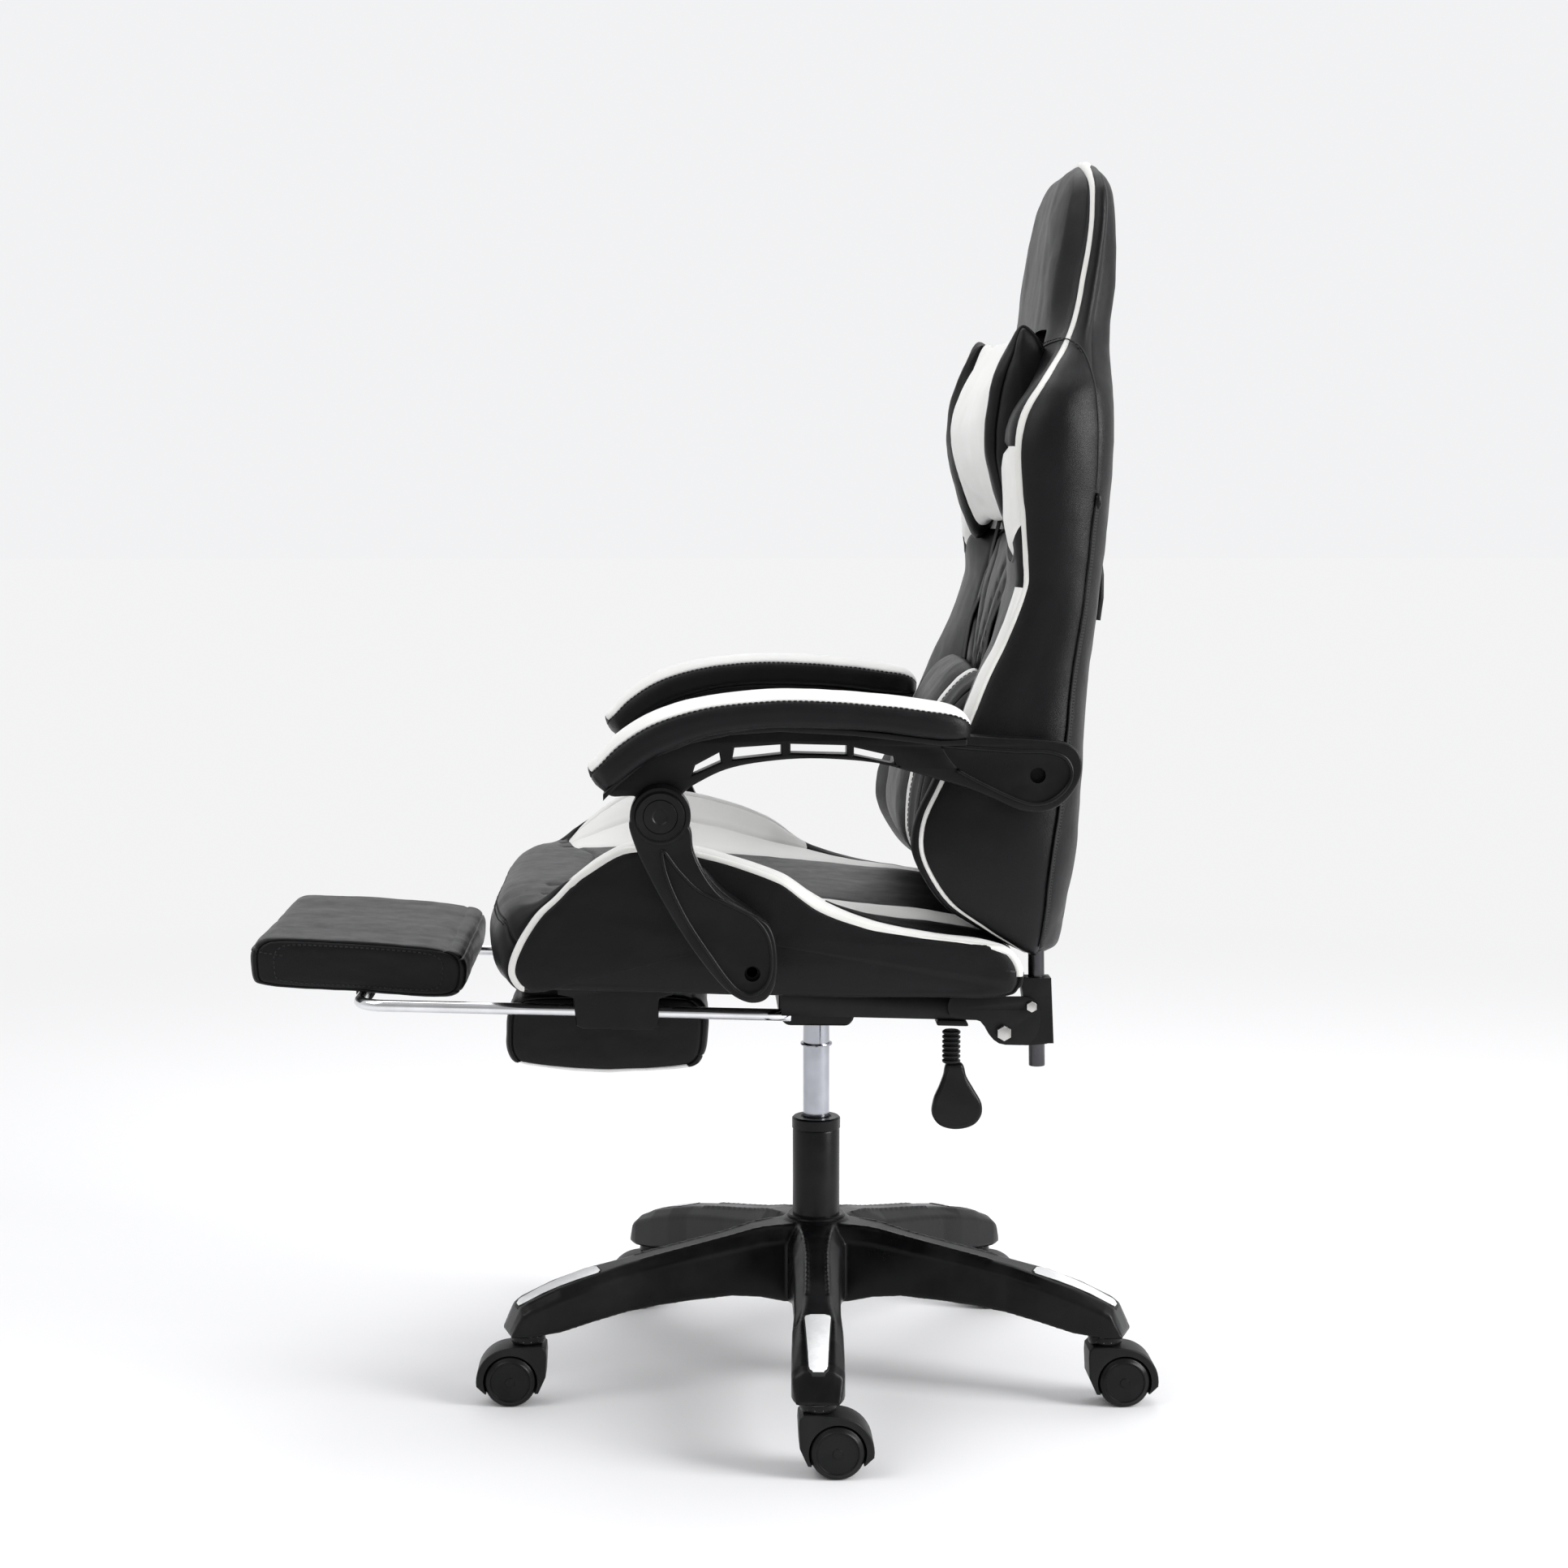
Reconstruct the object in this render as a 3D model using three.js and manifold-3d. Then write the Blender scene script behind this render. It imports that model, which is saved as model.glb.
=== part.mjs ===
// A gaming chair with a reclining bucket back, linked armrests, a slide-out footrest,
// a gas lift and a five-leg base on twin-wheel casters.
// Millimetres. +Z is up, the chair faces -Y, and +X is the sitter's left.
// The swivel axis is at x = 0, y = 0 and the floor is z = 0, before the whole chair is moved by `toMiddle`.

import * as THREE from 'three';
import { mergeVertices } from 'three/addons/utils/BufferGeometryUtils.js';
import Module from 'manifold-3d';

const wasm = await Module();
wasm.setup();

// ---------------------------------------------------------------- driving dimensions
const gap = 0.4;               // clearance between neighbouring pieces
const frameSlope = 0.03;       // the seat group leans back: z falls by this much per mm of y
const toMiddle = 109;          // moves the chair along +Y so that the origin is under the middle of its box

const base = {
  legCount: 5, turn: -0.041, stemRadius: 315, hubRadius: 38, hubBottom: 84, hubTop: 172,
  boreRadius: 25.5, socketRadius: 6, socketTop: 103,
};
const lift = {
  tubeRadius: 25, tubeBottom: 68, tubeTop: 268, collarTop: 281, boreRadius: 14.6,
  pistonRadius: 14, pistonBottom: 160, pistonTop: 424, ringRadius: 17, ringZ: 358,
};
const caster = {
  trail: 18, wheelRadius: 26.5, wheelInner: 3.6, wheelOuter: 21.5, hoodRadius: 35.5, hoodHalf: 20,
  wellRadius: 28, webHalf: 3, axleRadius: 4, stemRadius: 5.5, collarRadius: 17,
};
const casterDirections = [1, 1, 1, -1, -1];   // which way each caster trails along Y

const seat = { bottomAtAxis: 455, bottomSlope: 0.028 };
const rail = { x: 178, radius: 6, front: -464, frontZ: 436, rear: -34, bend: 26 };
const recline = { x: 214, y: 173, z: 414, tubeRadius: 8, plateInner: 226, plateOuter: 230 };
const arm = {
  inner: 268, frameOuter: 300, supportInner: 303, supportOuter: 331, padInner: 263, padOuter: 348,
  jointY: -162, jointZ: 640, discRadius: 28.5, lugRadius: 24,
  backBolt: [196, 674], seatBolt: [-76, 490], recess: 7.5,
};
const lever = { x: 215, y: 123, sleeveRadius: 9, sleeveBottom: 381, sleeveTop: 414 };
const footPad = { half: 155, hinge: [-464, 436] };
const calfPad = { half: 150, hinge: [-300, 400], legX: 100 };

// ---------------------------------------------------------------- materials
const paint = (color, roughness, metalness) => new THREE.MeshStandardMaterial({ color, roughness, metalness });
const finish = {
  leather: paint(0x3a3a3c, 0.5, 0),
  whiteLeather: paint(0xe9e9e7, 0.5, 0),
  nylon: paint(0x3b3b3d, 0.6, 0),
  tread: paint(0x333335, 0.7, 0),
  chrome: paint(0xd8dadc, 0.15, 1),
  blackSteel: paint(0x2b2b2d, 0.45, 0.6),
  zinc: paint(0xb5b7ba, 0.35, 1),
};

// ---------------------------------------------------------------- shape helpers
const alongX = new THREE.Matrix4().makeBasis(
  new THREE.Vector3(0, 1, 0), new THREE.Vector3(0, 0, 1), new THREE.Vector3(1, 0, 0));

function toSolid(geometry) {
  const plain = geometry.clone();
  plain.deleteAttribute('normal');
  plain.deleteAttribute('uv');
  const merged = mergeVertices(plain, 1e-4);
  return new wasm.Manifold(new wasm.Mesh({
    numProp: 3,
    vertProperties: new Float32Array(merged.attributes.position.array),
    triVerts: new Uint32Array(merged.index.array),
  }));
}

function toGeometry(solid) {
  const mesh = solid.getMesh();
  const geometry = new THREE.BufferGeometry();
  geometry.setAttribute('position', new THREE.BufferAttribute(new Float32Array(mesh.vertProperties), 3));
  geometry.setIndex(new THREE.BufferAttribute(new Uint32Array(mesh.triVerts), 1));
  return geometry;
}

const join = (solids) => solids.reduce((sum, solid) => sum.add(solid));
const cut = (solid, tools) => tools.reduce((rest, tool) => rest.subtract(tool), solid);

function box(x0, x1, y0, y1, z0, z1) {
  const geometry = new THREE.BoxGeometry(x1 - x0, y1 - y0, z1 - z0);
  geometry.translate((x0 + x1) / 2, (y0 + y1) / 2, (z0 + z1) / 2);
  return toSolid(geometry);
}

// A closed outline in (y, z), pushed along X from x0 to x1, with its edges rounded by `round`.
function sideSolid(outline, x0, x1, round = 0) {
  const shape = outline instanceof THREE.Shape ? outline : new THREE.Shape(outline);
  const geometry = new THREE.ExtrudeGeometry(shape, {
    depth: x1 - x0 - 2 * round, bevelEnabled: round > 0, bevelThickness: round, bevelSize: round,
    bevelOffset: -round, bevelSegments: 1,
  });
  geometry.applyMatrix4(alongX);
  geometry.translate(x0 + round, 0, 0);
  return toSolid(geometry);
}

// Points as Vector2, with each corner replaced by a short arc.
function roundedOutline(points, radius, steps = 3) {
  const corners = points.map(([a, b]) => new THREE.Vector2(a, b));
  const outline = [];
  corners.forEach((corner, i) => {
    const before = corners[(i + corners.length - 1) % corners.length];
    const after = corners[(i + 1) % corners.length];
    const reach = Math.min(radius, corner.distanceTo(before) / 2.1, corner.distanceTo(after) / 2.1);
    const start = corner.clone().add(before.clone().sub(corner).setLength(reach));
    const end = corner.clone().add(after.clone().sub(corner).setLength(reach));
    outline.push(...new THREE.QuadraticBezierCurve(start, corner, end).getPoints(steps));
  });
  return outline;
}

// A smooth closed outline through the points.
function smoothOutline(points, count) {
  const curve = new THREE.CatmullRomCurve3(points.map(([a, b]) => new THREE.Vector3(a, b, 0)), true);
  return curve.getPoints(count).slice(0, count).map((p) => new THREE.Vector2(p.x, p.y));
}

function circle(y, z, radius, count = 24) {
  const outline = [];
  for (let i = 0; i < count; i += 1) {
    const angle = (2 * Math.PI * (i + 0.5)) / count;
    outline.push(new THREE.Vector2(y + radius * Math.cos(angle), z + radius * Math.sin(angle)));
  }
  return outline;
}

const discX = (y, z, radius, x0, x1, count = 24) => sideSolid(circle(y, z, radius, count), x0, x1);

// A solid of revolution about the Z axis; the profile is [radius, z] pairs from bottom to top.
function turned(profile, segments = 28) {
  const closed = profile[0][0] > 0 ? [...profile, profile[0]] : profile;
  const geometry = new THREE.LatheGeometry(closed.map(([r, z]) => new THREE.Vector2(r, z)), segments);
  geometry.rotateX(Math.PI / 2);
  let solid = toSolid(geometry);
  if (solid.volume() < 0 || solid.isEmpty()) {
    geometry.index.array.reverse();
    solid = toSolid(geometry);
  }
  return solid;
}

// A closed skin through equal-length rings of points, with flat ends.
function loft(rings) {
  const count = rings[0].length;
  const positions = rings.flat().flatMap((p) => [p.x, p.y, p.z]);
  const index = [];
  for (let k = 0; k + 1 < rings.length; k += 1) {
    for (let i = 0; i < count; i += 1) {
      const a = k * count + i;
      const b = k * count + ((i + 1) % count);
      index.push(a, b, b + count, a, b + count, a + count);
    }
  }
  [0, rings.length - 1].forEach((k) => {
    const centre = rings[k].reduce((sum, p) => sum.add(p), new THREE.Vector3()).divideScalar(count);
    const tip = positions.length / 3;
    positions.push(centre.x, centre.y, centre.z);
    for (let i = 0; i < count; i += 1) {
      const a = k * count + i;
      const b = k * count + ((i + 1) % count);
      index.push(...(k === 0 ? [b, a, tip] : [a, b, tip]));
    }
  });
  const build = (order) => {
    const geometry = new THREE.BufferGeometry();
    geometry.setAttribute('position', new THREE.Float32BufferAttribute(positions, 3));
    geometry.setIndex(order);
    return toSolid(geometry);
  };
  const solid = build(index);
  return solid.volume() > 0 ? solid : build(index.slice().reverse());
}

// Straight-line value from [position, value] pairs.
function table(pairs, at) {
  if (at <= pairs[0][0]) return pairs[0][1];
  for (let i = 1; i < pairs.length; i += 1) {
    const [x0, v0] = pairs[i - 1];
    const [x1, v1] = pairs[i];
    if (at <= x1) return v0 + ((v1 - v0) * (at - x0)) / (x1 - x0);
  }
  return pairs[pairs.length - 1][1];
}

const mirror = (solid) => solid.mirror([1, 0, 0]);

const chair = new THREE.Group();
const shifted = new THREE.Group();
chair.add(shifted);

function add(name, solid, material, place = null) {
  const mesh = new THREE.Mesh(toGeometry(solid), material);
  mesh.name = name;
  if (place) {
    mesh.position.copy(place.position);
    mesh.rotation.copy(place.rotation);
  }
  shifted.add(mesh);
}

function addPair(name, solid, material) {
  add(`${name}_left`, solid, material);
  add(`${name}_right`, mirror(solid), material);
}

// ---------------------------------------------------------------- base star
// Each is [distance from the swivel axis, value].
const legTop = [[30, 171], [66, 168], [100, 161], [139, 154], [190, 145], [243, 134], [277, 125], [312, 112],
  [326, 104], [336, 80]];
const legBottom = [[30, 86], [76, 97], [102, 99], [147, 98], [191, 95], [226, 90], [278, 79], [302, 74],
  [336, 74.5]];
const legHalf = [[30, 30], [66, 27], [139, 24], [225, 23.5], [255, 24.5], [318, 26], [336, 21]];
const legRidge = [[30, 20], [66, 13], [113, 10], [208, 11], [250, 16], [318, 14], [336, 12]];

function baseLeg() {
  const rings = [18, 66, 113, 160, 208, 250, 290, 318, 328, 336].map((r) => {
    const top = table(legTop, r);
    const low = table(legBottom, r);
    const wide = table(legHalf, r);
    const ridge = table(legRidge, r);
    const shoulder = top - (top - low) * 0.16;
    const side = [[wide - 3, low], [wide, low + 5], [wide - 1, shoulder - 4], [wide - 4, shoulder], [ridge, top]];
    const ring = [...side, ...side.map(([s, z]) => [-s, z]).reverse()];
    return ring.map(([s, z]) => new THREE.Vector3(r, s, z));
  });
  return loft(rings);
}

// The ribbed pockets under a leg.
function legPockets() {
  const wall = 4.5;
  const stretches = [[70, 128], [133, 195], [200, 262], [267, 292]];
  return stretches.map(([start, end]) => loft([start, end].map((r) => {
    const half = table(legHalf, r) - wall - 2;
    const low = table(legBottom, r) - 5;
    const high = table(legTop, r) - 16;
    return [[half, low], [half, high - 8], [table(legRidge, r), high], [-table(legRidge, r), high],
      [-half, high - 8], [-half, low]].map(([s, z]) => new THREE.Vector3(r, s, z));
  })));
}

function baseStar() {
  const hub = turned([[0, base.hubBottom], [34, base.hubBottom], [base.hubRadius, 96], [base.hubRadius, 160],
    [35, base.hubTop], [0, base.hubTop]]);
  const socket = turned([[0, 60], [base.socketRadius, 60], [base.socketRadius, base.socketTop],
    [0, base.socketTop + 4]], 16).translate([base.stemRadius, 0, 0]);
  const leg = cut(baseLeg(), [...legPockets(), socket]);
  const legs = [];
  for (let i = 0; i < base.legCount; i += 1) {
    legs.push(leg.rotate([0, 0, THREE.MathUtils.radToDeg(base.turn) + (360 / base.legCount) * i]));
  }
  const bore = turned([[0, 60], [base.boreRadius, 60], [base.boreRadius, 200], [0, 200]], 24);
  return cut(join([hub, ...legs]), [bore]);
}

// ---------------------------------------------------------------- gas lift
function liftTube() {
  const { tubeRadius, tubeBottom, tubeTop, boreRadius } = lift;
  return turned([[0, tubeBottom], [tubeRadius - 3, tubeBottom], [tubeRadius, tubeBottom + 12],
    [tubeRadius, tubeTop], [boreRadius + 3, tubeTop], [boreRadius + 3, tubeBottom + 6], [0, tubeBottom + 6]], 24);
}

function liftCollar() {
  const low = lift.tubeTop + gap;
  return turned([[lift.boreRadius, low], [lift.tubeRadius, low], [lift.tubeRadius, lift.collarTop - 2],
    [lift.tubeRadius - 2, lift.collarTop], [lift.boreRadius, lift.collarTop]], 24);
}

function liftPiston() {
  const { pistonRadius, pistonBottom, pistonTop, ringRadius, ringZ } = lift;
  return turned([[0, pistonBottom], [pistonRadius - 1, pistonBottom], [pistonRadius, pistonBottom + 2],
    [pistonRadius, ringZ], [ringRadius, ringZ], [ringRadius, ringZ + 3], [pistonRadius, ringZ + 3],
    [pistonRadius - 1, pistonTop], [0, pistonTop]], 20);
}

function retainingClip() {
  const high = base.hubBottom - gap;
  return turned([[lift.tubeRadius + gap, high - 3], [31, high - 3], [31, high], [lift.tubeRadius + gap, high]], 24);
}

// ---------------------------------------------------------------- casters
// Local frame: the stem axis is at the origin, the caster trails along +Y and its axle is along X.
function casterStem() {
  const { stemRadius, collarRadius } = caster;
  return turned([[0, 58], [stemRadius, 58], [stemRadius, 65], [collarRadius, 65], [collarRadius + 1, 68],
    [collarRadius, 73], [stemRadius, 73], [stemRadius, 102], [0, 102]], 14);
}

function casterHood() {
  const { trail, wheelRadius, hoodRadius, hoodHalf, wellRadius, webHalf, axleRadius, wheelOuter } = caster;
  const stemBore = caster.stemRadius + gap;
  const outline = [[-9, 10], [-18.5, 31], [-19.5, 52], [-19, 60], [-15, 64], [0, 64], [trail, 62.5]];
  for (let degrees = 78; degrees >= -12; degrees -= 15) {
    const angle = THREE.MathUtils.degToRad(degrees);
    outline.push([trail + hoodRadius * Math.cos(angle), wheelRadius + hoodRadius * Math.sin(angle)]);
  }
  outline.push([trail + 26, 13], [trail + 8, 7], [trail - 10, 8]);
  const body = sideSolid(outline.map(([y, z]) => new THREE.Vector2(y, z)), -hoodHalf, hoodHalf);
  const well = discX(trail, wheelRadius, wellRadius, webHalf, hoodHalf + 4, 20);
  const below = box(webHalf, hoodHalf + 4, -30, trail + 60, -10, 14);
  const bore = turned([[0, 57], [stemBore, 57], [stemBore, 70], [0, 70]], 12);
  const axle = discX(trail, wheelRadius, axleRadius, -wheelOuter + 5, wheelOuter - 5, 10);
  return cut(body, [well, mirror(well), below, mirror(below), bore]).add(axle);
}

function casterWheel() {
  const { wheelRadius, wheelInner, wheelOuter, axleRadius } = caster;
  const sides = 20;
  const rim = wheelRadius / Math.cos(Math.PI / sides);
  const blind = wheelOuter - 4.4;
  const wheel = turned([[axleRadius + gap, wheelInner], [rim, wheelInner], [rim, wheelOuter - 3.5],
    [rim - 4, wheelOuter], [0, wheelOuter], [0, blind], [axleRadius + gap, blind]], sides);
  return wheel.rotate([0, 0, 180 / sides]).rotate([0, 90, 0]).translate([0, caster.trail, wheelRadius]);
}

function addCasters() {
  const stem = casterStem();
  const hood = casterHood();
  const wheel = casterWheel();
  for (let i = 0; i < base.legCount; i += 1) {
    const angle = base.turn + (2 * Math.PI * i) / base.legCount;
    const place = {
      position: new THREE.Vector3(base.stemRadius * Math.cos(angle), base.stemRadius * Math.sin(angle), 0),
      rotation: new THREE.Euler(0, 0, casterDirections[i] > 0 ? 0 : Math.PI),
    };
    add(`caster_${i + 1}_stem`, stem, finish.zinc, place);
    add(`caster_${i + 1}_hood`, hood, finish.nylon, place);
    add(`caster_${i + 1}_wheel_a`, wheel, finish.tread, place);
    add(`caster_${i + 1}_wheel_b`, mirror(wheel), finish.tread, place);
  }
}

// ---------------------------------------------------------------- steelwork under the seat
const seatBottom = (y) => seat.bottomAtAxis - seat.bottomSlope * y;
const slopeZ = (z, y) => z - frameSlope * y;

// A bar whose underside and top follow the seat's lean; heights are given at the swivel axis.
function leaningBar(x0, x1, y0, y1, low, high) {
  return sideSolid([[y0, slopeZ(low, y0)], [y1, slopeZ(low, y1)], [y1, slopeZ(high, y1)], [y0, slopeZ(high, y0)]]
    .map(([y, z]) => new THREE.Vector2(y, z)), x0, x1);
}

function tiltMechanism() {
  const body = sideSolid(roundedOutline([[-42, 430], [-42, 400], [-34, 392], [30, 391], [36, 398], [36, 428]], 4),
    -70, 70, 2);
  const plate = leaningBar(-95, 95, -92, 92, 428, 433);
  const socket = turned([[0, 380], [lift.pistonRadius + gap, 380], [lift.pistonRadius + gap, 425],
    [0, 425]], 28);
  return cut(body.add(plate), [socket]);
}

function seatFrame() {
  const low = 430;
  const high = 454;
  const wall = 2.5;
  const front = -45;
  const sides = [leaningBar(200, 225, front, 152, low, high), leaningBar(-225, -200, front, 152, low, high)];
  const crossings = [[front + 6, front + 31], [63, 88], [125, 150]];
  const members = crossings.map(([y0, y1]) => leaningBar(-201, 201, y0, y1, low + 4, high));
  const sideChannels = [leaningBar(200 + wall, 225 - wall, front - 10, 162, low - 5, high - wall)];
  sideChannels.push(mirror(sideChannels[0]));
  const memberChannels = crossings.map(([y0, y1]) => leaningBar(-198, 198, y0 + wall, y1 - wall, low - 5,
    high - wall));
  return cut(join([...sides, ...members]), [...sideChannels, ...memberChannels]);
}

// ---------------------------------------------------------------- recline hardware
function reclinePlate() {
  const outline = roundedOutline([[118, 429], [151, 427], [158, 412], [168, 402], [196, 401], [206, 410],
    [210, 428], [208, 441], [198, 449.3], [118, 449.8]], 8, 2);
  const plate = sideSolid(outline, recline.plateInner, recline.plateOuter);
  const pivotHole = discX(recline.y, recline.z, 4.4, 220, 236, 16);
  const lockHole = discX(200, 440, 3.4, 220, 236, 12);
  return cut(plate, [pivotHole, lockHole]);
}

function reclineSocket() {
  const ear = sideSolid(roundedOutline([[162, 408], [172, 402], [196, 400], [222, 402], [221, 440], [196, 440],
    [175, 426], [163, 420]], 6, 2), 222.5, 225.5);
  const channel = sideSolid([[199, 402], [223, 402], [220, 467], [190, 467]]
    .map(([y, z]) => new THREE.Vector2(y, z)), 203, 225.5);
  const tubeHole = backTube(gap);
  const pivotHole = discX(recline.y, recline.z, 4.4, 220, 236, 16);
  return cut(ear.add(channel), [tubeHole, pivotHole]);
}

// The upright of the back: a straight tube that leans with the back. `extra` widens it for its holes.
function backTube(extra = 0) {
  const low = new THREE.Vector3(recline.x, 208, 378 - extra);
  const high = new THREE.Vector3(recline.x, 204, 640 + extra);
  const axis = high.clone().sub(low);
  const tube = new THREE.CylinderGeometry(recline.tubeRadius + extra, recline.tubeRadius + extra,
    axis.length(), 16);
  tube.rotateX(Math.PI / 2);
  tube.lookAt(axis);
  tube.translate((low.x + high.x) / 2, (low.y + high.y) / 2, (low.z + high.z) / 2);
  return toSolid(tube);
}

function pivotBolt() {
  const shank = discX(recline.y, recline.z, 4, 219, 231, 16);
  const head = discX(recline.y, recline.z, 7.5, recline.plateOuter + gap, 236, 6);
  return shank.add(head);
}

function lockBolt() {
  const shank = discX(200, 440, 3, recline.plateInner + gap, 231, 12);
  const head = discX(200, 440, 5.5, recline.plateOuter + gap, 234.5, 6);
  return shank.add(head);
}

// ---------------------------------------------------------------- release lever
function leverHousing() {
  return sideSolid(roundedOutline([[107, 421], [139, 420], [137, 425.2], [109, 426.2]], 2, 2), 203, 228);
}

function leverSleeve() {
  const profile = [[0, lever.sleeveBottom]];
  const rings = 6;
  const pitch = (lever.sleeveTop - lever.sleeveBottom) / rings;
  for (let i = 0; i < rings; i += 1) {
    const z = lever.sleeveBottom + pitch * i;
    profile.push([lever.sleeveRadius - 1.6, z], [lever.sleeveRadius, z + pitch * 0.35]);
    profile.push([lever.sleeveRadius, z + pitch * 0.65]);
  }
  profile.push([lever.sleeveRadius - 1.6, lever.sleeveTop], [0, lever.sleeveTop]);
  return turned(profile, 12).translate([lever.x, lever.y, 0]);
}

function leverGrip() {
  const outline = smoothOutline([[115, 380], [137, 380], [141, 366], [152, 344], [152, 330], [144, 319],
    [128, 315], [113, 319], [105, 330], [106, 346], [112, 364]], 28);
  const collarTop = lever.sleeveBottom - gap;
  return sideSolid(outline, lever.x - 6, lever.x + 6, 2)
    .subtract(box(190, 240, 90, 170, collarTop, 400));
}

// ---------------------------------------------------------------- footrest
// The chrome U: two leaning rails joined by a cross tube, as rings of points around its centre line.
function footrestFrame(extra = 0) {
  const { x, radius, front, frontZ, rear, bend } = rail;
  const zAt = (y) => frontZ - frameSlope * (y - front);
  const stations = [{ x, y: rear, heading: 0 }];
  for (let degrees = 0; degrees <= 90; degrees += 15) {
    const turn = THREE.MathUtils.degToRad(degrees);
    stations.push({ x: x - bend + bend * Math.cos(turn), y: front + bend - bend * Math.sin(turn), heading: turn });
  }
  const other = stations.map((s) => ({ x: -s.x, y: s.y, heading: Math.PI - s.heading })).reverse();
  const rings = [...stations, ...other].map((s) => {
    const middle = new THREE.Vector3(s.x, s.y, zAt(s.y));
    const across = new THREE.Vector3(Math.cos(s.heading), -Math.sin(s.heading), 0);
    return circle(0, 0, radius + extra, 10).map((p) => middle.clone().addScaledVector(across, p.x)
      .add(new THREE.Vector3(0, 0, p.y)));
  });
  return loft(rings);
}

function footrestGuide() {
  const outline = [[-265, 447], [-250, 444], [-247, 416], [-240, 413], [-172, 411], [-166, 414], [-165, 442],
    [-152, 446], [-152, 458.5], [-265, 458.5]].map(([y, z]) => new THREE.Vector2(y, z));
  const body = sideSolid(outline, 165, 191, 1);
  return cut(body, [footrestFrame(gap + 0.3)]);
}

function footrestPad() {
  const outline = roundedOutline([[-571, 453.1], [-364, 438.4], [-360, 480], [-440, 492], [-520, 497],
    [-569, 496]], 14, 3);
  return sideSolid(outline, -footPad.half, footPad.half, 8);
}

function footrestBracket() {
  const [hingeY, hingeZ] = footPad.hinge;
  const under = (y) => 453 - (14 * (y + 569)) / 196 - gap;
  const plate = sideSolid([[-500, under(-500) - 3], [-414, under(-414) - 3], [-414, under(-414)],
    [-500, under(-500)]].map(([y, z]) => new THREE.Vector2(y, z)), -110, 110);
  const clamp = (x0) => discX(hingeY, hingeZ, 9.5, x0, x0 + 26, 20);
  const ceiling = sideSolid([[-500, under(-500)], [-414, under(-414)], [-414, 480], [-500, 480]]
    .map(([y, z]) => new THREE.Vector2(y, z)), -120, 120);
  const clamps = [clamp(-104), clamp(78)];
  return cut(join([plate, ...clamps]), [ceiling, footrestFrame(gap)]);
}

function calfPadSolid() {
  const outline = roundedOutline([[-316, 369], [-122, 365], [-118, 398], [-122, 437], [-314, 437]], 16, 3);
  const pad = sideSolid(outline, -calfPad.half, calfPad.half, 8);
  const [y, z] = calfPad.hinge;
  const slot = box(calfPad.legX - gap, calfPad.legX + 12, -340, y + 12, z - 12, 450);
  const bore = discX(y, z, 4.6, calfPad.legX + 4, calfPad.legX + 22, 14);
  return cut(pad, [slot, bore, mirror(slot), mirror(bore)]);
}

function calfPadBracket() {
  const [y, z] = calfPad.hinge;
  const strap = box(-120, 120, y - 8, y + 10, 456, 459.5);
  const leg = box(calfPad.legX, calfPad.legX + 5, y - 7, y + 8, z - 6, 457);
  const pin = discX(y, z, 4, calfPad.legX + 4, calfPad.legX + 20, 14);
  return join([strap, leg, pin, mirror(leg), mirror(pin)]);
}

// ---------------------------------------------------------------- seat cushion
// Heights along the bolsters and along the middle, and half widths, each as [y, value].
const bolsterTop = [[-331, 503], [-326, 528], [-318, 538], [-300, 545], [-267, 550], [-252, 566], [-236, 581],
  [-215, 593], [-193, 600], [-160, 600], [-126, 596], [-95, 589], [-48, 570], [-9, 543], [46, 522], [101, 511],
  [168, 503], [180, 495], [187, 478]];
const wellTop = [[-331, 503], [-326, 528], [-314, 541], [-290, 549], [-262, 551], [-200, 548], [-124, 542],
  [0, 536], [124, 526], [150, 519], [170, 506], [182, 494], [187, 478]];
const seatHalf = [[-331, 170], [-326, 205], [-314, 235], [-296, 252], [-270, 260], [-200, 262], [176, 262],
  [184, 258], [187, 246]];

function seatCushion() {
  const stations = [-331, -326, -316, -298, -267, -236, -193, -126, -48, 0, 50, 101, 150, 172, 183, 187];
  const rings = stations.map((y) => {
    const half = table(seatHalf, y);
    const high = table(bolsterTop, y);
    const well = Math.min(table(wellTop, y), high + 20);
    const endLift = y < -320 || y > 180 ? 12 : 0;
    const low = seatBottom(y) + endLift;
    const inner = Math.min(208, half * 0.8);
    const floor = Math.min(150, half * 0.6);
    const side = [[0, low], [half - 14, low], [half - 2, low + 8], [half, (low + high) / 2], [half - 2, high - 8],
      [half - 10, high], [inner, high], [(inner + floor) / 2, (high + well) / 2], [floor, well]];
    const left = side.map(([x, z]) => new THREE.Vector3(x, y, z));
    const right = side.slice(1).map(([x, z]) => new THREE.Vector3(-x, y, z)).reverse();
    return [...left, new THREE.Vector3(0, y, well), ...right];
  });
  return loft(rings);
}

// ---------------------------------------------------------------- backrest cushion
// Each is [z, value]: the front of the wings, the front of the middle, the rear, and the half width.
const wingFront = [[490, 200], [498, 190], [522, 148], [545, 116], [577, 95], [601, 87], [628, 90], [662, 106],
  [726, 136], [753, 146], [792, 165], [823, 179], [839, 186], [869, 188], [908, 185], [984, 180], [1015, 187],
  [1040, 203], [1062, 219], [1085, 234], [1102, 243], [1122, 249], [1156, 255], [1189, 261], [1223, 265],
  [1243, 265], [1259, 262]];
const backCentre = [[490, 200], [498, 190], [512, 178], [530, 166], [560, 158], [600, 155], [700, 160],
  [772, 170], [850, 188], [903, 203], [984, 209], [1060, 209], [1105, 214], [1150, 219], [1198, 227],
  [1232, 235], [1243, 240], [1252, 248], [1259, 258]];
const backRear = [[490, 224], [498, 230], [540, 234], [600, 243], [645, 245], [709, 249], [796, 257], [881, 267],
  [978, 274], [1087, 276], [1144, 285], [1185, 286], [1225, 284], [1243, 280], [1251, 274], [1259, 267]];
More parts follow.
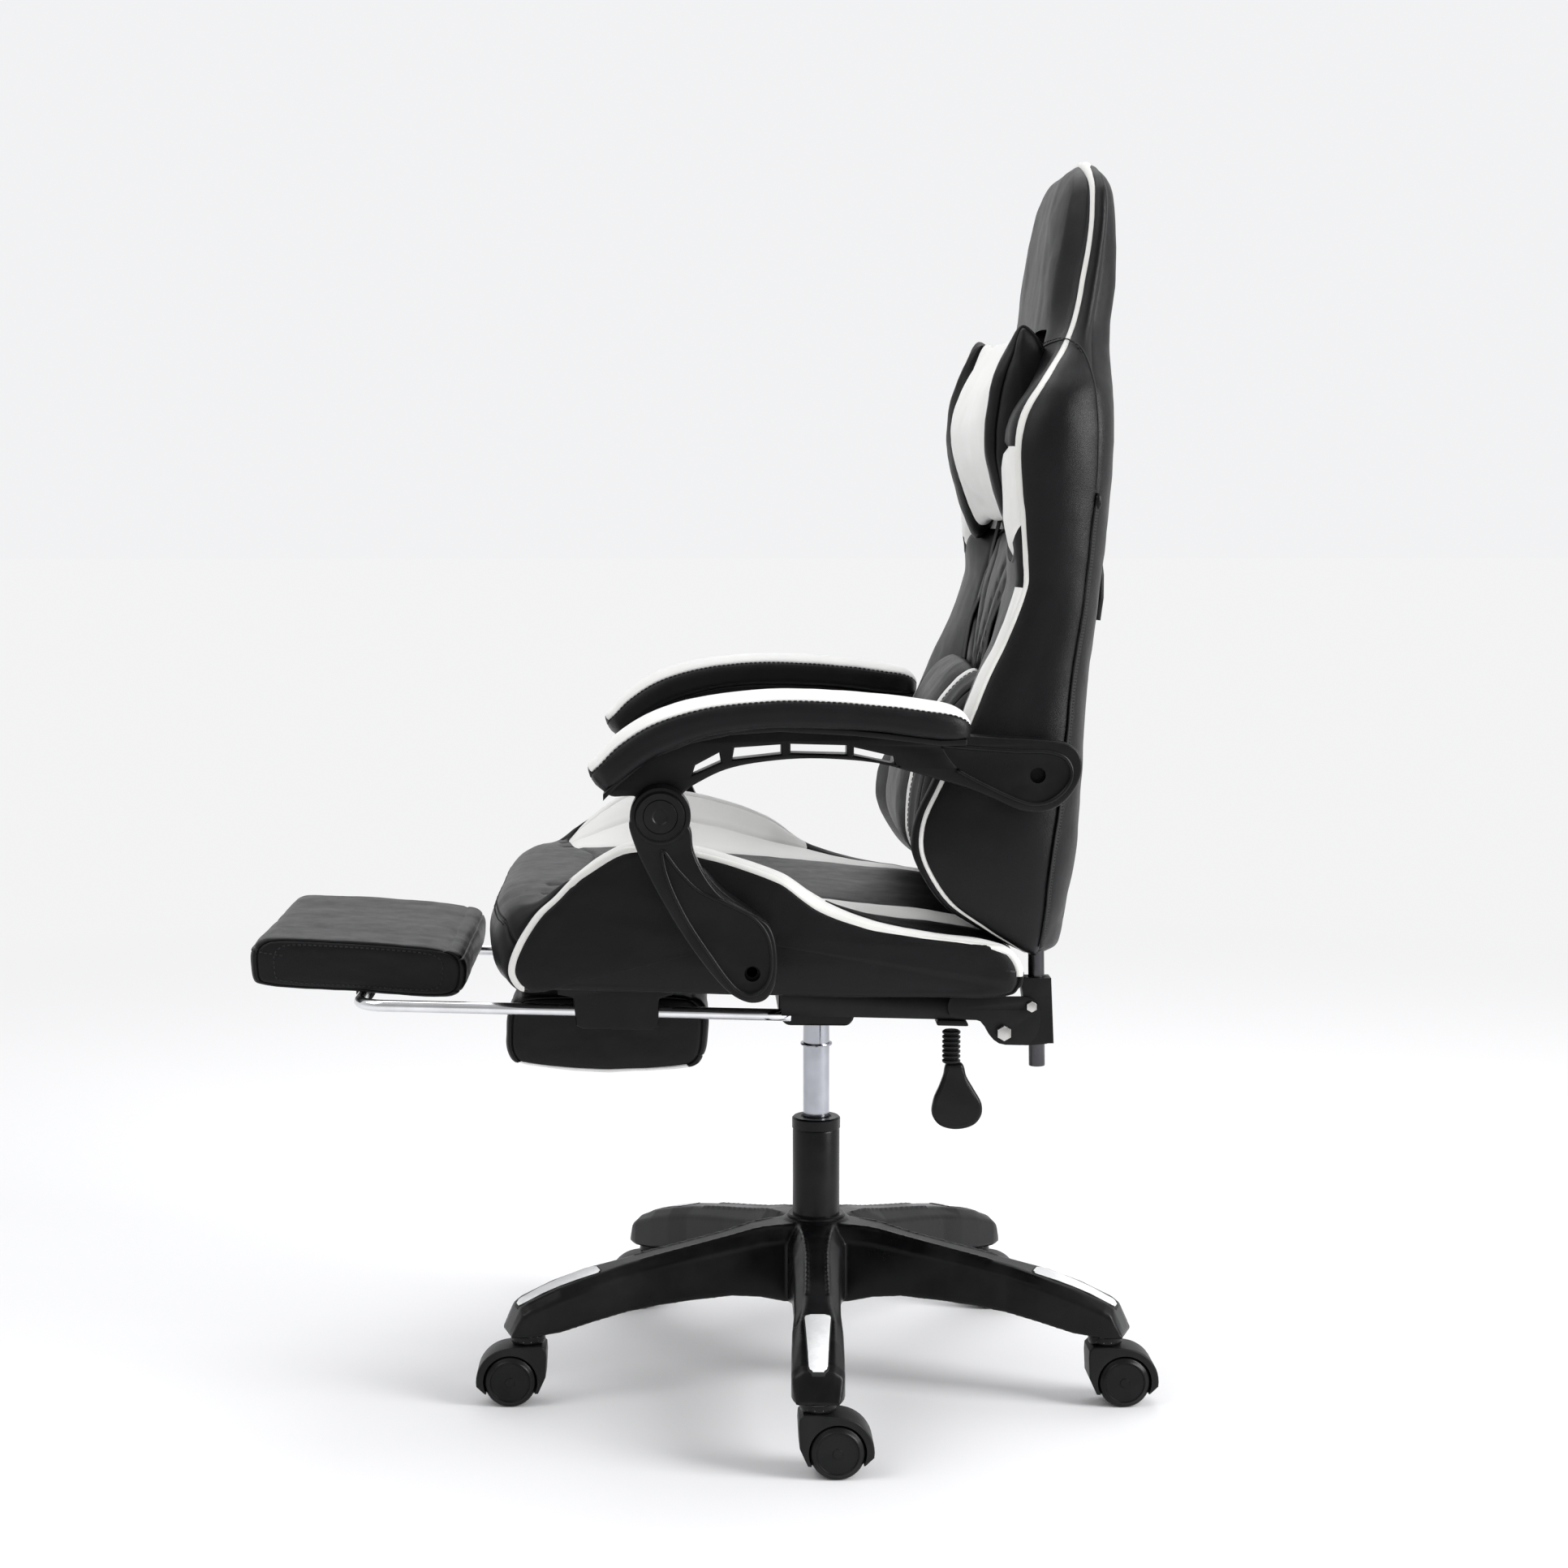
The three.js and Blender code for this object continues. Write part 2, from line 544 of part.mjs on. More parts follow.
const backHalf = [[490, 228], [498, 236], [522, 246], [560, 258], [601, 262], [700, 259], [800, 253], [900, 258],
  [984, 262], [1015, 258], [1040, 245], [1062, 222], [1085, 197], [1110, 180], [1150, 171], [1200, 165],
  [1235, 150], [1250, 130], [1259, 100]];
// How far the front has gone from the wing to the middle: [share of the half width, on the body, on the head].
const frontBlend = [[0.84, 0.12, 0.3], [0.68, 0.55, 0.54], [0.56, 1, 0.69], [0.28, 1, 0.92]];

function backrestCushion() {
  const stations = [490, 498, 522, 545, 577, 601, 628, 662, 726, 792, 839, 908, 984, 1015, 1040, 1062, 1085,
    1122, 1160, 1198, 1232, 1243, 1252, 1259];
  const rings = stations.map((z) => {
    const half = table(backHalf, z);
    const wing = table(wingFront, z);
    const centre = table(backCentre, z);
    const rear = table(backRear, z);
    const headShare = THREE.MathUtils.clamp((z - 1030) / 70, 0, 1);
    const front = frontBlend.map(([share, body, head]) => [
      half * share, THREE.MathUtils.lerp(wing, centre, THREE.MathUtils.lerp(body, head, headShare))]);
    const side = [[0, rear], [half * 0.82, rear], [half - 6, rear - 6], [half, (wing + rear) / 2 + 4],
      [half - 2, wing + (rear - wing) * 0.15], [half - 12, wing], ...front];
    const left = side.map(([x, y]) => new THREE.Vector3(x, y, z));
    const right = side.slice(1).map(([x, y]) => new THREE.Vector3(-x, y, z)).reverse();
    return [...left, new THREE.Vector3(0, centre, z), ...right];
  });
  const slot = sideSolidY(roundedOutline([[72, 1072], [142, 1072], [134, 1100], [76, 1100]], 9, 2), 150, 320);
  return cut(loft(rings), [slot, mirror(slot), backTube(gap), mirror(backTube(gap))]);
}

// A closed outline in (x, z), pushed along Y from y0 to y1.
function sideSolidY(outline, y0, y1) {
  const geometry = new THREE.ExtrudeGeometry(new THREE.Shape(outline), { depth: y1 - y0, bevelEnabled: false });
  geometry.applyMatrix4(new THREE.Matrix4().makeBasis(
    new THREE.Vector3(1, 0, 0), new THREE.Vector3(0, 0, 1), new THREE.Vector3(0, -1, 0)));
  geometry.translate(0, y1, 0);
  return toSolid(geometry);
}

// A side outline carried from x = -half to x = half, drawn in towards its middle at both ends. The front
// curves back by `crown` at the ends, and the rear stays flat.
function softSolid(outline, half, crown) {
  const count = outline.length;
  const middle = outline.reduce((sum, p) => sum.add(p), new THREE.Vector2()).divideScalar(count);
  const front = Math.min(...outline.map((p) => p.x));
  const rear = Math.max(...outline.map((p) => p.x));
  const stations = [[-1, 0.5], [-0.97, 0.72], [-0.9, 0.9], [-0.7, 1], [-0.35, 1], [0, 1], [0.35, 1], [0.7, 1],
    [0.9, 0.9], [0.97, 0.72], [1, 0.5]];
  return loft(stations.map(([across, size]) => outline.map((p) => {
    const drawn = middle.clone().lerp(p, size);
    const back = (crown * across * across * (rear - drawn.x)) / (rear - front);
    return new THREE.Vector3(across * half, drawn.x + back, drawn.y);
  })));
}

function headPillow() {
  return softSolid(smoothOutline([[178, 907], [158, 925], [146, 960], [138, 1000], [137, 1031], [144, 1065],
    [160, 1092], [178, 1103], [190, 1085], [196, 1040], [197, 984], [192, 925]], 24), 140, 16);
}

function lumbarPillow() {
  return softSolid(smoothOutline([[150, 566], [118, 562], [90, 578], [77, 605], [78, 641], [92, 690], [108, 727],
    [131, 760], [150, 768], [157, 735], [152, 690], [149, 640], [150, 600]], 24), 158, 14);
}

function strapBuckle() {
  const rear = (z) => table(backRear, z) + gap;
  const outline = [[rear(880), 880], [rear(820), 820], [rear(820) + 5, 824], [rear(850) + 7.5, 850],
    [rear(880) + 5, 876]].map(([y, z]) => new THREE.Vector2(y, z));
  return sideSolid(outline, 140, 178);
}

// ---------------------------------------------------------------- armrests
const padUnderside = [[-215, 663], [-202, 676], [-172, 701], [-134, 716], [-96, 724], [-51, 727], [17, 723],
  [54, 719], [100, 713], [124, 714]];
const padTop = [[-233, 680], [-217, 697], [-202, 714], [-172, 733], [-134, 747], [-96, 753], [-44, 755],
  [17, 752], [54, 748], [92, 744], [120, 738], [127, 727]];

function armPad() {
  const outline = [...padUnderside, ...padTop.slice().reverse()].map(([y, z]) => new THREE.Vector2(y, z));
  return sideSolid(outline, arm.padInner, arm.padOuter, 6);
}

function armFrame() {
  const top = padUnderside.map(([y, z]) => [y, z - gap - 0.2]);
  const rearLobe = [[150, 711], [196, 708.5], [225, 704.5], [235, 697], [237.5, 686], [234, 669], [224, 652],
    [212, 643], [197, 639], [177, 642], [154, 652], [127, 663], [100, 671]];
  const lowerArc = [[72, 679], [46, 686], [11, 690], [-31, 691], [-73, 687], [-100, 681], [-122, 671],
    [-142, 664]];
  const front = [[-180, 664], [-195, 656], [-208, 656]];
  const outline = [...top, ...rearLobe, ...lowerArc, ...front].map(([y, z]) => new THREE.Vector2(y, z));
  const windows = [
    [[-133, 676], [-104, 688], [-106, 697], [-130, 684]],
    [[-94, 690], [-47, 696], [-47, 705], [-92, 702]],
    [[-39, 697], [14, 695], [14, 704], [-39, 706]],
    [[21, 694], [60, 685], [58, 694], [21, 702]],
  ];
  const shape = new THREE.Shape(outline);
  windows.forEach((points) => {
    shape.holes.push(new THREE.Path(points.map(([y, z]) => new THREE.Vector2(y, z))));
  });
  const web = sideSolid(shape, 272, arm.frameOuter);
  const lugOutline = [[-186, 640], [-182, 662], [-170, 690], [-150, 690], [-136, 668], [-138, 640]];
  const lug = discX(arm.jointY, arm.jointZ, arm.lugRadius, 272, arm.frameOuter, 28)
    .add(sideSolid(lugOutline.map(([y, z]) => new THREE.Vector2(y, z)), 272, arm.frameOuter));
  const under = [...top, ...top.slice().reverse().map(([y, z]) => [y, z - 6])];
  const tray = sideSolid(under.map(([y, z]) => new THREE.Vector2(y, z)), 270, 342);
  const [boltY, boltZ] = arm.backBolt;
  const boss = discX(boltY, boltZ, 16, arm.inner, 276, 24);
  const recess = discX(boltY, boltZ, arm.recess, 284, 310, 20);
  return cut(join([web, lug, tray, boss]), [recess]);
}

function armSupport() {
  const blade = smoothOutline([[-186, 628], [-172, 584], [-150, 546], [-127, 515], [-104, 488], [-90, 469],
    [-75, 462], [-62, 470], [-55, 490], [-53, 515], [-60, 535], [-76, 550], [-100, 569], [-119, 590],
    [-132, 622], [-160, 645]], 32);
  const outer = sideSolid(blade, arm.supportInner, arm.supportOuter)
    .add(discX(arm.jointY, arm.jointZ, arm.discRadius, arm.supportInner, arm.supportOuter, 24));
  const inside = smoothOutline([[-160, 574], [-148, 548], [-127, 518], [-104, 490], [-90, 471], [-75, 465],
    [-64, 472], [-58, 490], [-56, 515], [-63, 533], [-79, 547], [-104, 566], [-126, 588], [-146, 590]], 26);
  const inner = sideSolid(inside, arm.inner, arm.supportInner + 1);
  const [boltY, boltZ] = arm.seatBolt;
  return cut(outer.add(inner), [discX(boltY, boltZ, arm.recess, 312, 340, 20)]);
}

function armPivotCap() {
  const face = arm.supportOuter + gap;
  const rim = discX(arm.jointY, arm.jointZ, 23, face, face + 2.5, 20);
  return cut(rim, [discX(arm.jointY, arm.jointZ, 6, face + 1, face + 4, 12)]);
}

// ---------------------------------------------------------------- assembly
add('base_star', baseStar(), finish.nylon);
add('gas_lift_tube', liftTube(), finish.nylon);
add('gas_lift_collar', liftCollar(), finish.nylon);
add('gas_lift_piston', liftPiston(), finish.chrome);
add('base_retaining_clip', retainingClip(), finish.zinc);
addCasters();
add('tilt_mechanism', tiltMechanism(), finish.blackSteel);
add('seat_frame', seatFrame(), finish.blackSteel);
addPair('recline_plate', reclinePlate(), finish.blackSteel);
addPair('recline_socket', reclineSocket(), finish.blackSteel);
addPair('recline_pivot_bolt', pivotBolt(), finish.zinc);
addPair('recline_lock_bolt', lockBolt(), finish.zinc);
addPair('back_tube', backTube(), finish.zinc);
add('lever_housing', leverHousing(), finish.nylon);
add('lever_sleeve', leverSleeve(), finish.nylon);
add('lever_grip', leverGrip(), finish.nylon);
addPair('footrest_guide', footrestGuide(), finish.nylon);
add('footrest_frame', footrestFrame(), finish.chrome);
add('footrest_bracket', footrestBracket(), finish.blackSteel);
add('footrest_pad', footrestPad(), finish.leather);
add('calf_pad_bracket', calfPadBracket(), finish.blackSteel);
add('calf_pad', calfPadSolid(), finish.leather);
add('seat_cushion', seatCushion(), finish.leather);
add('backrest_cushion', backrestCushion(), finish.leather);
add('head_pillow', headPillow(), finish.whiteLeather);
add('lumbar_pillow', lumbarPillow(), finish.leather);
add('strap_buckle', strapBuckle(), finish.nylon);
addPair('arm_pad', armPad(), finish.leather);
addPair('arm_frame', armFrame(), finish.nylon);
addPair('arm_support', armSupport(), finish.nylon);
addPair('arm_pivot_cap', armPivotCap(), finish.nylon);

shifted.position.y = toMiddle;

export default chair;
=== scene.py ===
"""A gaming chair around its CAD frame: padded seat, reclining bucket back, pillows, linked armrests,
slide-out footrest, gas lift and five-leg base. Metres, +Z up, the chair faces -Y."""
import bisect
import math

import bmesh
import bpy
import numpy as np
from mathutils import Matrix, Vector, noise


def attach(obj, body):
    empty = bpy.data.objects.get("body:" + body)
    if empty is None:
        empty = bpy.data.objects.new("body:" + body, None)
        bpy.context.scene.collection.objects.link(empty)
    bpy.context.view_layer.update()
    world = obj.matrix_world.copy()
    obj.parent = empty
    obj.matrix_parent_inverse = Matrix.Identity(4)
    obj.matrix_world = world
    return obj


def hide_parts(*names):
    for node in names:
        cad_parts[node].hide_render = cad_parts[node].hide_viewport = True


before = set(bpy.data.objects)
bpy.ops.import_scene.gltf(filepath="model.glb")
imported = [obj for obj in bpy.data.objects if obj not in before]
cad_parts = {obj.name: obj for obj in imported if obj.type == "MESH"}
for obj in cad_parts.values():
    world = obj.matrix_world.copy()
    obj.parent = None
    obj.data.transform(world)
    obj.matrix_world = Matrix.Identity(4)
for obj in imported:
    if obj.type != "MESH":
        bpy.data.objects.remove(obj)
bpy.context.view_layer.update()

MM = 0.001
AXIS_Y = 0.109         # the swivel axis's y in the frame
SIDES = ((1, "left"), (-1, "right"))


def at(x, y, z):
    """A point of the frame in metres, from millimetres measured from the swivel axis on the floor."""
    return Vector((x * MM, y * MM + AXIS_Y, z * MM))


# ------------------------------------------------------------------ curves and tables
def cubic(start, end, leave, arrive, t):
    """The cubic from start to end with the given slopes at its ends, at t from 0 to 1."""
    first = (1 + 2 * t) * (1 - t) ** 2 * start + t * (1 - t) ** 2 * leave
    return first + t * t * (3 - 2 * t) * end + t * t * (t - 1) * arrive


def smooth_table(*pairs):
    """A smooth function through (key, value) pairs that never overshoots them."""
    keys = [p[0] for p in pairs]
    values = [p[1] for p in pairs]
    steps = [b - a for a, b in zip(keys, keys[1:])]
    slopes = [(b - a) / h for a, b, h in zip(values, values[1:], steps)]
    tangents = [slopes[0]]
    for s0, s1, h0, h1 in zip(slopes, slopes[1:], steps, steps[1:]):
        flat = s0 * s1 <= 0
        tangents.append(0.0 if flat else 3 * (h0 + h1) / ((2 * h1 + h0) / s0 + (h1 + 2 * h0) / s1))
    tangents.append(slopes[-1])

    def value(key):
        key = min(max(key, keys[0]), keys[-1])
        i = min(bisect.bisect_right(keys, key) - 1, len(steps) - 1)
        leave, arrive = steps[i] * tangents[i], steps[i] * tangents[i + 1]
        return cubic(values[i], values[i + 1], leave, arrive, (key - keys[i]) / steps[i])
    return value


def spline(points, spans, closed):
    """Catmull-Rom samples through the points; spans lists where each stretch is sampled, from 0 to 1."""
    pts = np.array(points, dtype=float)
    n = len(pts)
    result = []
    for i in range(n if closed else n - 1):
        p1, p2 = pts[i], pts[(i + 1) % n]
        p0 = pts[i - 1] if closed or i > 0 else 2 * p1 - p2
        p3 = pts[(i + 2) % n] if closed or i < n - 2 else 2 * p2 - p1
        near = np.linalg.norm(p2 - p1)
        m1 = (p2 - p0) * near / max(np.linalg.norm(p1 - p0) + near, 1e-9)
        m2 = (p3 - p1) * near / max(np.linalg.norm(p3 - p2) + near, 1e-9)
        result += [cubic(p1, p2, m1, m2, t) for t in spans]
    if not closed:
        result.append(pts[-1])
    return np.array(result)


EVEN = tuple(i / 6 for i in range(6))
SEAM = (0, 0.03, 0.09, 0.2, 0.35, 0.5, 0.65, 0.8, 0.91, 0.97)     # closer samples beside each seam


# ------------------------------------------------------------------ mesh makers
def new_object(name, data):
    obj = bpy.data.objects.new(name, data)
    bpy.context.collection.objects.link(obj)
    return obj


def mesh_object(name, verts, faces, materials, picks=None):
    mesh = bpy.data.meshes.new(name)
    mesh.from_pydata([tuple(v) for v in verts], [], [tuple(f) for f in faces])
    for material in materials:
        mesh.materials.append(material)
    if picks is not None:
        mesh.polygons.foreach_set("material_index", picks)
    mesh.polygons.foreach_set("use_smooth", [True] * len(faces))
    mesh.update()
    return new_object(name, mesh)


def outward_normals(rows):
    """Unit normals of a closed skin's rings of points, pointing out of it."""
    across = np.roll(rows, -1, axis=1) - np.roll(rows, 1, axis=1)
    normals = np.cross(np.gradient(rows, axis=0), across)
    normals /= np.maximum(np.linalg.norm(normals, axis=2, keepdims=True), 1e-12)
    return normals if (normals * (rows - rows.mean(axis=(0, 1)))).sum() > 0 else -normals


def skin(name, rows, materials, pick=None, cap=True):
    """A skin through rings of points, closed at both ends by a fan unless cap is off. pick(r, c) gives
    a face's material."""
    count = rows.shape[1]
    verts = rows.reshape(-1, 3)
    faces, picks = [], []
    for r in range(rows.shape[0] - 1):
        for c in range(count):
            d = (c + 1) % count
            faces.append((r * count + c, (r + 1) * count + c, (r + 1) * count + d, r * count + d))
            picks.append(pick(r, c) if pick else 0)
    if cap:
        for r in (0, rows.shape[0] - 1):
            verts = np.vstack([verts, rows[r].mean(axis=0)])
            tip = len(verts) - 1
            for c in range(count):
                d = (c + 1) % count
                faces.append((r * count + c, r * count + d, tip) if r == 0 else
                             (r * count + d, r * count + c, tip))
                picks.append(pick(min(r, rows.shape[0] - 2), c) if pick else 0)
    obj = mesh_object(name, verts, faces, materials, picks)
    if signed_volume(obj.data) < 0:
        obj.data.flip_normals()
    return obj


def signed_volume(mesh):
    total = 0.0
    for face in mesh.polygons:
        a, b, c = (mesh.vertices[v].co for v in face.vertices[:3])
        total += a.dot(b.cross(c))
        if len(face.vertices) == 4:
            d = mesh.vertices[face.vertices[3]].co
            total += a.dot(c.cross(d))
    return total


def tube(name, points, radius, material, closed=False, sides=10, flat=1.0, up=(1, 0, 0)):
    """A round cord or rod along the points; flat squeezes it along the `up` side."""
    pts = np.array(points, dtype=float)
    if closed:
        ahead, behind = np.roll(pts, -1, axis=0), np.roll(pts, 1, axis=0)
    else:
        ahead, behind = np.vstack([pts[1:], pts[-1:]]), np.vstack([pts[:1], pts[:-1]])
    side = Vector(up)
    rings = []
    for i, point in enumerate(pts):
        heading = Vector(ahead[i] - behind[i]).normalized()
        side = (side - heading * side.dot(heading)).normalized()
        other = heading.cross(side)
        size = radius[i] if isinstance(radius, (list, np.ndarray)) else radius
        rings.append([Vector(point) + side * (size * flat * math.cos(a)) + other * (size * math.sin(a))
                      for a in (2 * math.pi * k / sides for k in range(sides))])
    rows = np.array(rings)
    if closed:
        rows = np.vstack([rows, rows[:1]])
        obj = skin(name, rows, [material], cap=False)
        merge_points(obj)
        return obj
    return skin(name, rows, [material])


def edit(obj, change):
    """Runs change(bm) on the object's mesh."""
    bm = bmesh.new()
    bm.from_mesh(obj.data)
    change(bm)
    bm.to_mesh(obj.data)
    bm.free()
    obj.data.update()


def merge_points(obj, distance=1e-6):
    edit(obj, lambda bm: bmesh.ops.remove_doubles(bm, verts=bm.verts, dist=distance))


def turned(name, profile, material, segments=48, place=None):
    """A solid of revolution about Z from (radius, z) pairs in millimetres, moved by a matrix."""
    rows = np.array([[(r * MM * math.cos(a), r * MM * math.sin(a), z * MM)
                      for a in (2 * math.pi * k / segments for k in range(segments))]
                     for r, z in profile])
    obj = skin(name, rows, [material])
    merge_points(obj, 1e-7)
    if place:
        obj.data.transform(place)
    set_sharp(obj)
    return obj


def set_sharp(obj, degrees=32):
    obj.data.polygons.foreach_set("use_smooth", [True] * len(obj.data.polygons))
    obj.data.set_sharp_from_angle(angle=math.radians(degrees))


ON_AXIS = Matrix.Translation((0, AXIS_Y, 0))
TURNED_X = Matrix(((0, 0, 1, 0), (1, 0, 0, 0), (0, 1, 0, 0), (0, 0, 0, 1)))      # local z becomes x


def facing_x(x, y, z):
    """Places a turned piece at a point with its axis along X."""
    return Matrix.Translation(at(x, y, z)) @ TURNED_X


def plate(name, outline, x0, x1, bevel, material, holes=(), steps=3):
    """A flat plate with rounded edges: a closed outline of (y, z) in millimetres, from x0 to x1."""
    curve = bpy.data.curves.new(name, "CURVE")
    curve.dimensions = "2D"
    curve.fill_mode = "BOTH"
    for points in (outline, *holes):
        line = curve.splines.new("POLY")
        line.points.add(len(points) - 1)
        for target, (y, z) in zip(line.points, points):
            target.co = (y * MM, z * MM, 0, 1)
        line.use_cyclic_u = True
    curve.extrude = (abs(x1 - x0) / 2 - bevel) * MM
    curve.bevel_depth = bevel * MM
    curve.bevel_resolution = steps
    curve.offset = -bevel * MM
    draft = new_object(name + "_draft", curve)
    mesh = evaluated_mesh(draft)
    bpy.data.objects.remove(draft)
    mesh.transform(facing_x((x0 + x1) / 2, 0, 0))
    mesh.materials.clear()
    mesh.materials.append(material)
    mesh.name = name
    obj = new_object(name, mesh)
    merge_points(obj, 2e-6)
    edit(obj, lambda bm: bmesh.ops.recalc_face_normals(bm, faces=bm.faces))
    set_sharp(obj, 40)
    return obj


def smooth_outline(points, per_span=5):
    spans = tuple(i / per_span for i in range(per_span))
    return [tuple(p) for p in spline(points, spans, True)]


def joined(name, parts):
    """One object of several meshes, with their materials kept."""
    for other in bpy.context.selected_objects:
        other.select_set(False)
    for part in parts:
        part.select_set(True)
    bpy.context.view_layer.objects.active = parts[0]
    bpy.ops.object.join()
    result = bpy.context.view_layer.objects.active
    result.name = name
    result.data.name = name
    result.select_set(False)
    return result


def evaluated_mesh(obj):
    """The object's mesh as its modifiers leave it."""
    bpy.context.view_layer.update()
    graph = bpy.context.evaluated_depsgraph_get()
    return bpy.data.meshes.new_from_object(obj.evaluated_get(graph))


def apply_modifiers(obj):
    mesh = evaluated_mesh(obj)
    obj.modifiers.clear()
    obj.data = mesh


def subtract(obj, cutter):
    change = obj.modifiers.new("cut", "BOOLEAN")
    change.operation = "DIFFERENCE"
    change.solver = "EXACT"
    change.object = cutter
    apply_modifiers(obj)
    bpy.data.objects.remove(cutter)


def copied(obj, name, place):
    """A copy of the object, moved by a matrix."""
    copy = new_object(name, obj.data.copy())
    copy.data.name = name
    copy.data.transform(place)
    return copy


def mirrored(obj, name):
    """A copy of the object on the other side of the chair."""
    copy = copied(obj, name, Matrix.Scale(-1, 4, (1, 0, 0)))
    copy.data.flip_normals()
    return copy


def on_body(obj, body, slot, *replaced):
    if replaced:
        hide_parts(*replaced)
    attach(obj, body)
    return obj


def both_sides(obj, body, slot, *replaced):
    """Rides the left piece and its mirror image; body and nodes take each side's name."""
    pieces = [obj, mirrored(obj, obj.name.replace("_left", "_right"))]
    for piece, (_, side) in zip(pieces, SIDES):
        on_body(piece, body.format(side=side), slot, *[node.format(side=side) for node in replaced])
    return pieces


# ------------------------------------------------------------------ materials
def new_material(name, color, roughness, metallic=0.0, specular=0.5):
    material = bpy.data.materials.new(name)
    material.use_nodes = True
    shader = material.node_tree.nodes["Principled BSDF"]
    shader.inputs["Base Color"].default_value = (*color, 1)
    shader.inputs["Roughness"].default_value = roughness
    shader.inputs["Metallic"].default_value = metallic
    shader.inputs["Specular IOR Level"].default_value = specular
    return material, material.node_tree, shader


def texture(tree, kind, scale, stretch=(1, 1, 1), **settings):
    """A texture node on object coordinates; scale is in repeats per metre."""
    place = tree.nodes.new("ShaderNodeTexCoord")
    mapping = tree.nodes.new("ShaderNodeMapping")
    mapping.inputs["Scale"].default_value = stretch
    node = tree.nodes.new("ShaderNodeTex" + kind)
    node.inputs["Scale"].default_value = scale
    for key, value in settings.items():
        node.inputs[key].default_value = value
    tree.links.new(place.outputs["Object"], mapping.inputs["Vector"])
    tree.links.new(mapping.outputs["Vector"], node.inputs["Vector"])
    return node


def ramp(tree, source, low, high, from_low=0.0, from_high=1.0):
    node = tree.nodes.new("ShaderNodeMapRange")
    node.inputs["From Min"].default_value = from_low
    node.inputs["From Max"].default_value = from_high
    node.inputs["To Min"].default_value = low
    node.inputs["To Max"].default_value = high
    tree.links.new(source, node.inputs["Value"])
    return node.outputs["Result"]


def mix_color(tree, factor, first, second):
    node = tree.nodes.new("ShaderNodeMix")
    node.data_type = "RGBA"
    node.inputs[6].default_value = (*first, 1)
    node.inputs[7].default_value = (*second, 1)
    tree.links.new(factor, node.inputs[0])
    return node.outputs[2]


def bumps(tree, shader, layers):
    """Stacks (height output, distance in metres, strength) layers of relief on the shader."""
    previous = None
    for height, distance, strength in layers:
        node = tree.nodes.new("ShaderNodeBump")
        node.inputs["Distance"].default_value = distance
        node.inputs["Strength"].default_value = strength
        tree.links.new(height, node.inputs["Height"])
        if previous:
            tree.links.new(previous, node.inputs["Normal"])
        previous = node.outputs["Normal"]
    tree.links.new(previous, shader.inputs["Normal"])


def surface(tree, shader, tones, pattern, reach, sheen, roughness, relief):
    """Lets the color drift between two tones and the roughness between two values, each following a
    noise node, and adds layers of relief. reach is the part of the pattern that changes the color."""
    tone = mix_color(tree, ramp(tree, pattern.outputs["Fac"], 0, 1, *reach), *tones)
    tree.links.new(tone, shader.inputs["Base Color"])
    tree.links.new(ramp(tree, sheen.outputs["Fac"], *roughness, 0.3, 0.7), shader.inputs["Roughness"])
    bumps(tree, shader, relief)


def leather(name, color, shade, roughness, specular):
    """Grained polyurethane leather: pebbled grain, fine pores, slow hand-stretched unevenness."""
    material, tree, shader = new_material(name, color, roughness, specular=specular)
    grain = texture(tree, "Voronoi", 820)
    grain.feature = "DISTANCE_TO_EDGE"
    valleys = ramp(tree, grain.outputs["Distance"], 0, 1, 0, 0.22)
    pores = texture(tree, "Noise", 2600, Detail=3)
    drift = texture(tree, "Noise", 7, Detail=4, Roughness=0.55)
    creases = texture(tree, "Noise", 60, (1, 1, 0.45), Detail=5, Roughness=0.6, Distortion=0.6)
    surface(tree, shader, (color, shade), drift, (0.3, 0.7), creases, (roughness - 0.03, roughness + 0.05),
            [(creases.outputs["Fac"], 0.0010, 0.05), (valleys, 0.00022, 0.32),
             (pores.outputs["Fac"], 0.0001, 0.25)])
    return material


def moulded(name, color, roughness, scale=1500, depth=0.00012, specular=0.5):
    """Moulded plastic with a fine spark-eroded texture and slight handling marks."""
    material, tree, shader = new_material(name, color, roughness, specular=specular)
    fine = texture(tree, "Noise", scale, Detail=4, Roughness=0.65)
    marks = texture(tree, "Noise", 18, Detail=6, Roughness=0.6)
    lighter = tuple(min(1, c * 1.5 + 0.004) for c in color)
    surface(tree, shader, (color, lighter), marks, (0.42, 0.72), marks, (roughness - 0.07, roughness + 0.08),
            [(fine.outputs["Fac"], depth, 0.5)])
    return material


def metal(name, color, roughness, stretch, strength):
    """Polished or brushed metal: faint drawn lines along one way, and smudges in its roughness."""
    material, tree, shader = new_material(name, color, roughness, metallic=1.0)
    lines = texture(tree, "Noise", 300, stretch, Detail=4)
    smudges = texture(tree, "Noise", 30, Detail=5)
    darker = tuple(c * 0.82 for c in color)
    surface(tree, shader, (color, darker), smudges, (0.35, 0.75), smudges, (roughness * 0.7, roughness * 1.6),
            [(lines.outputs["Fac"], 0.00006, strength)])
    return material


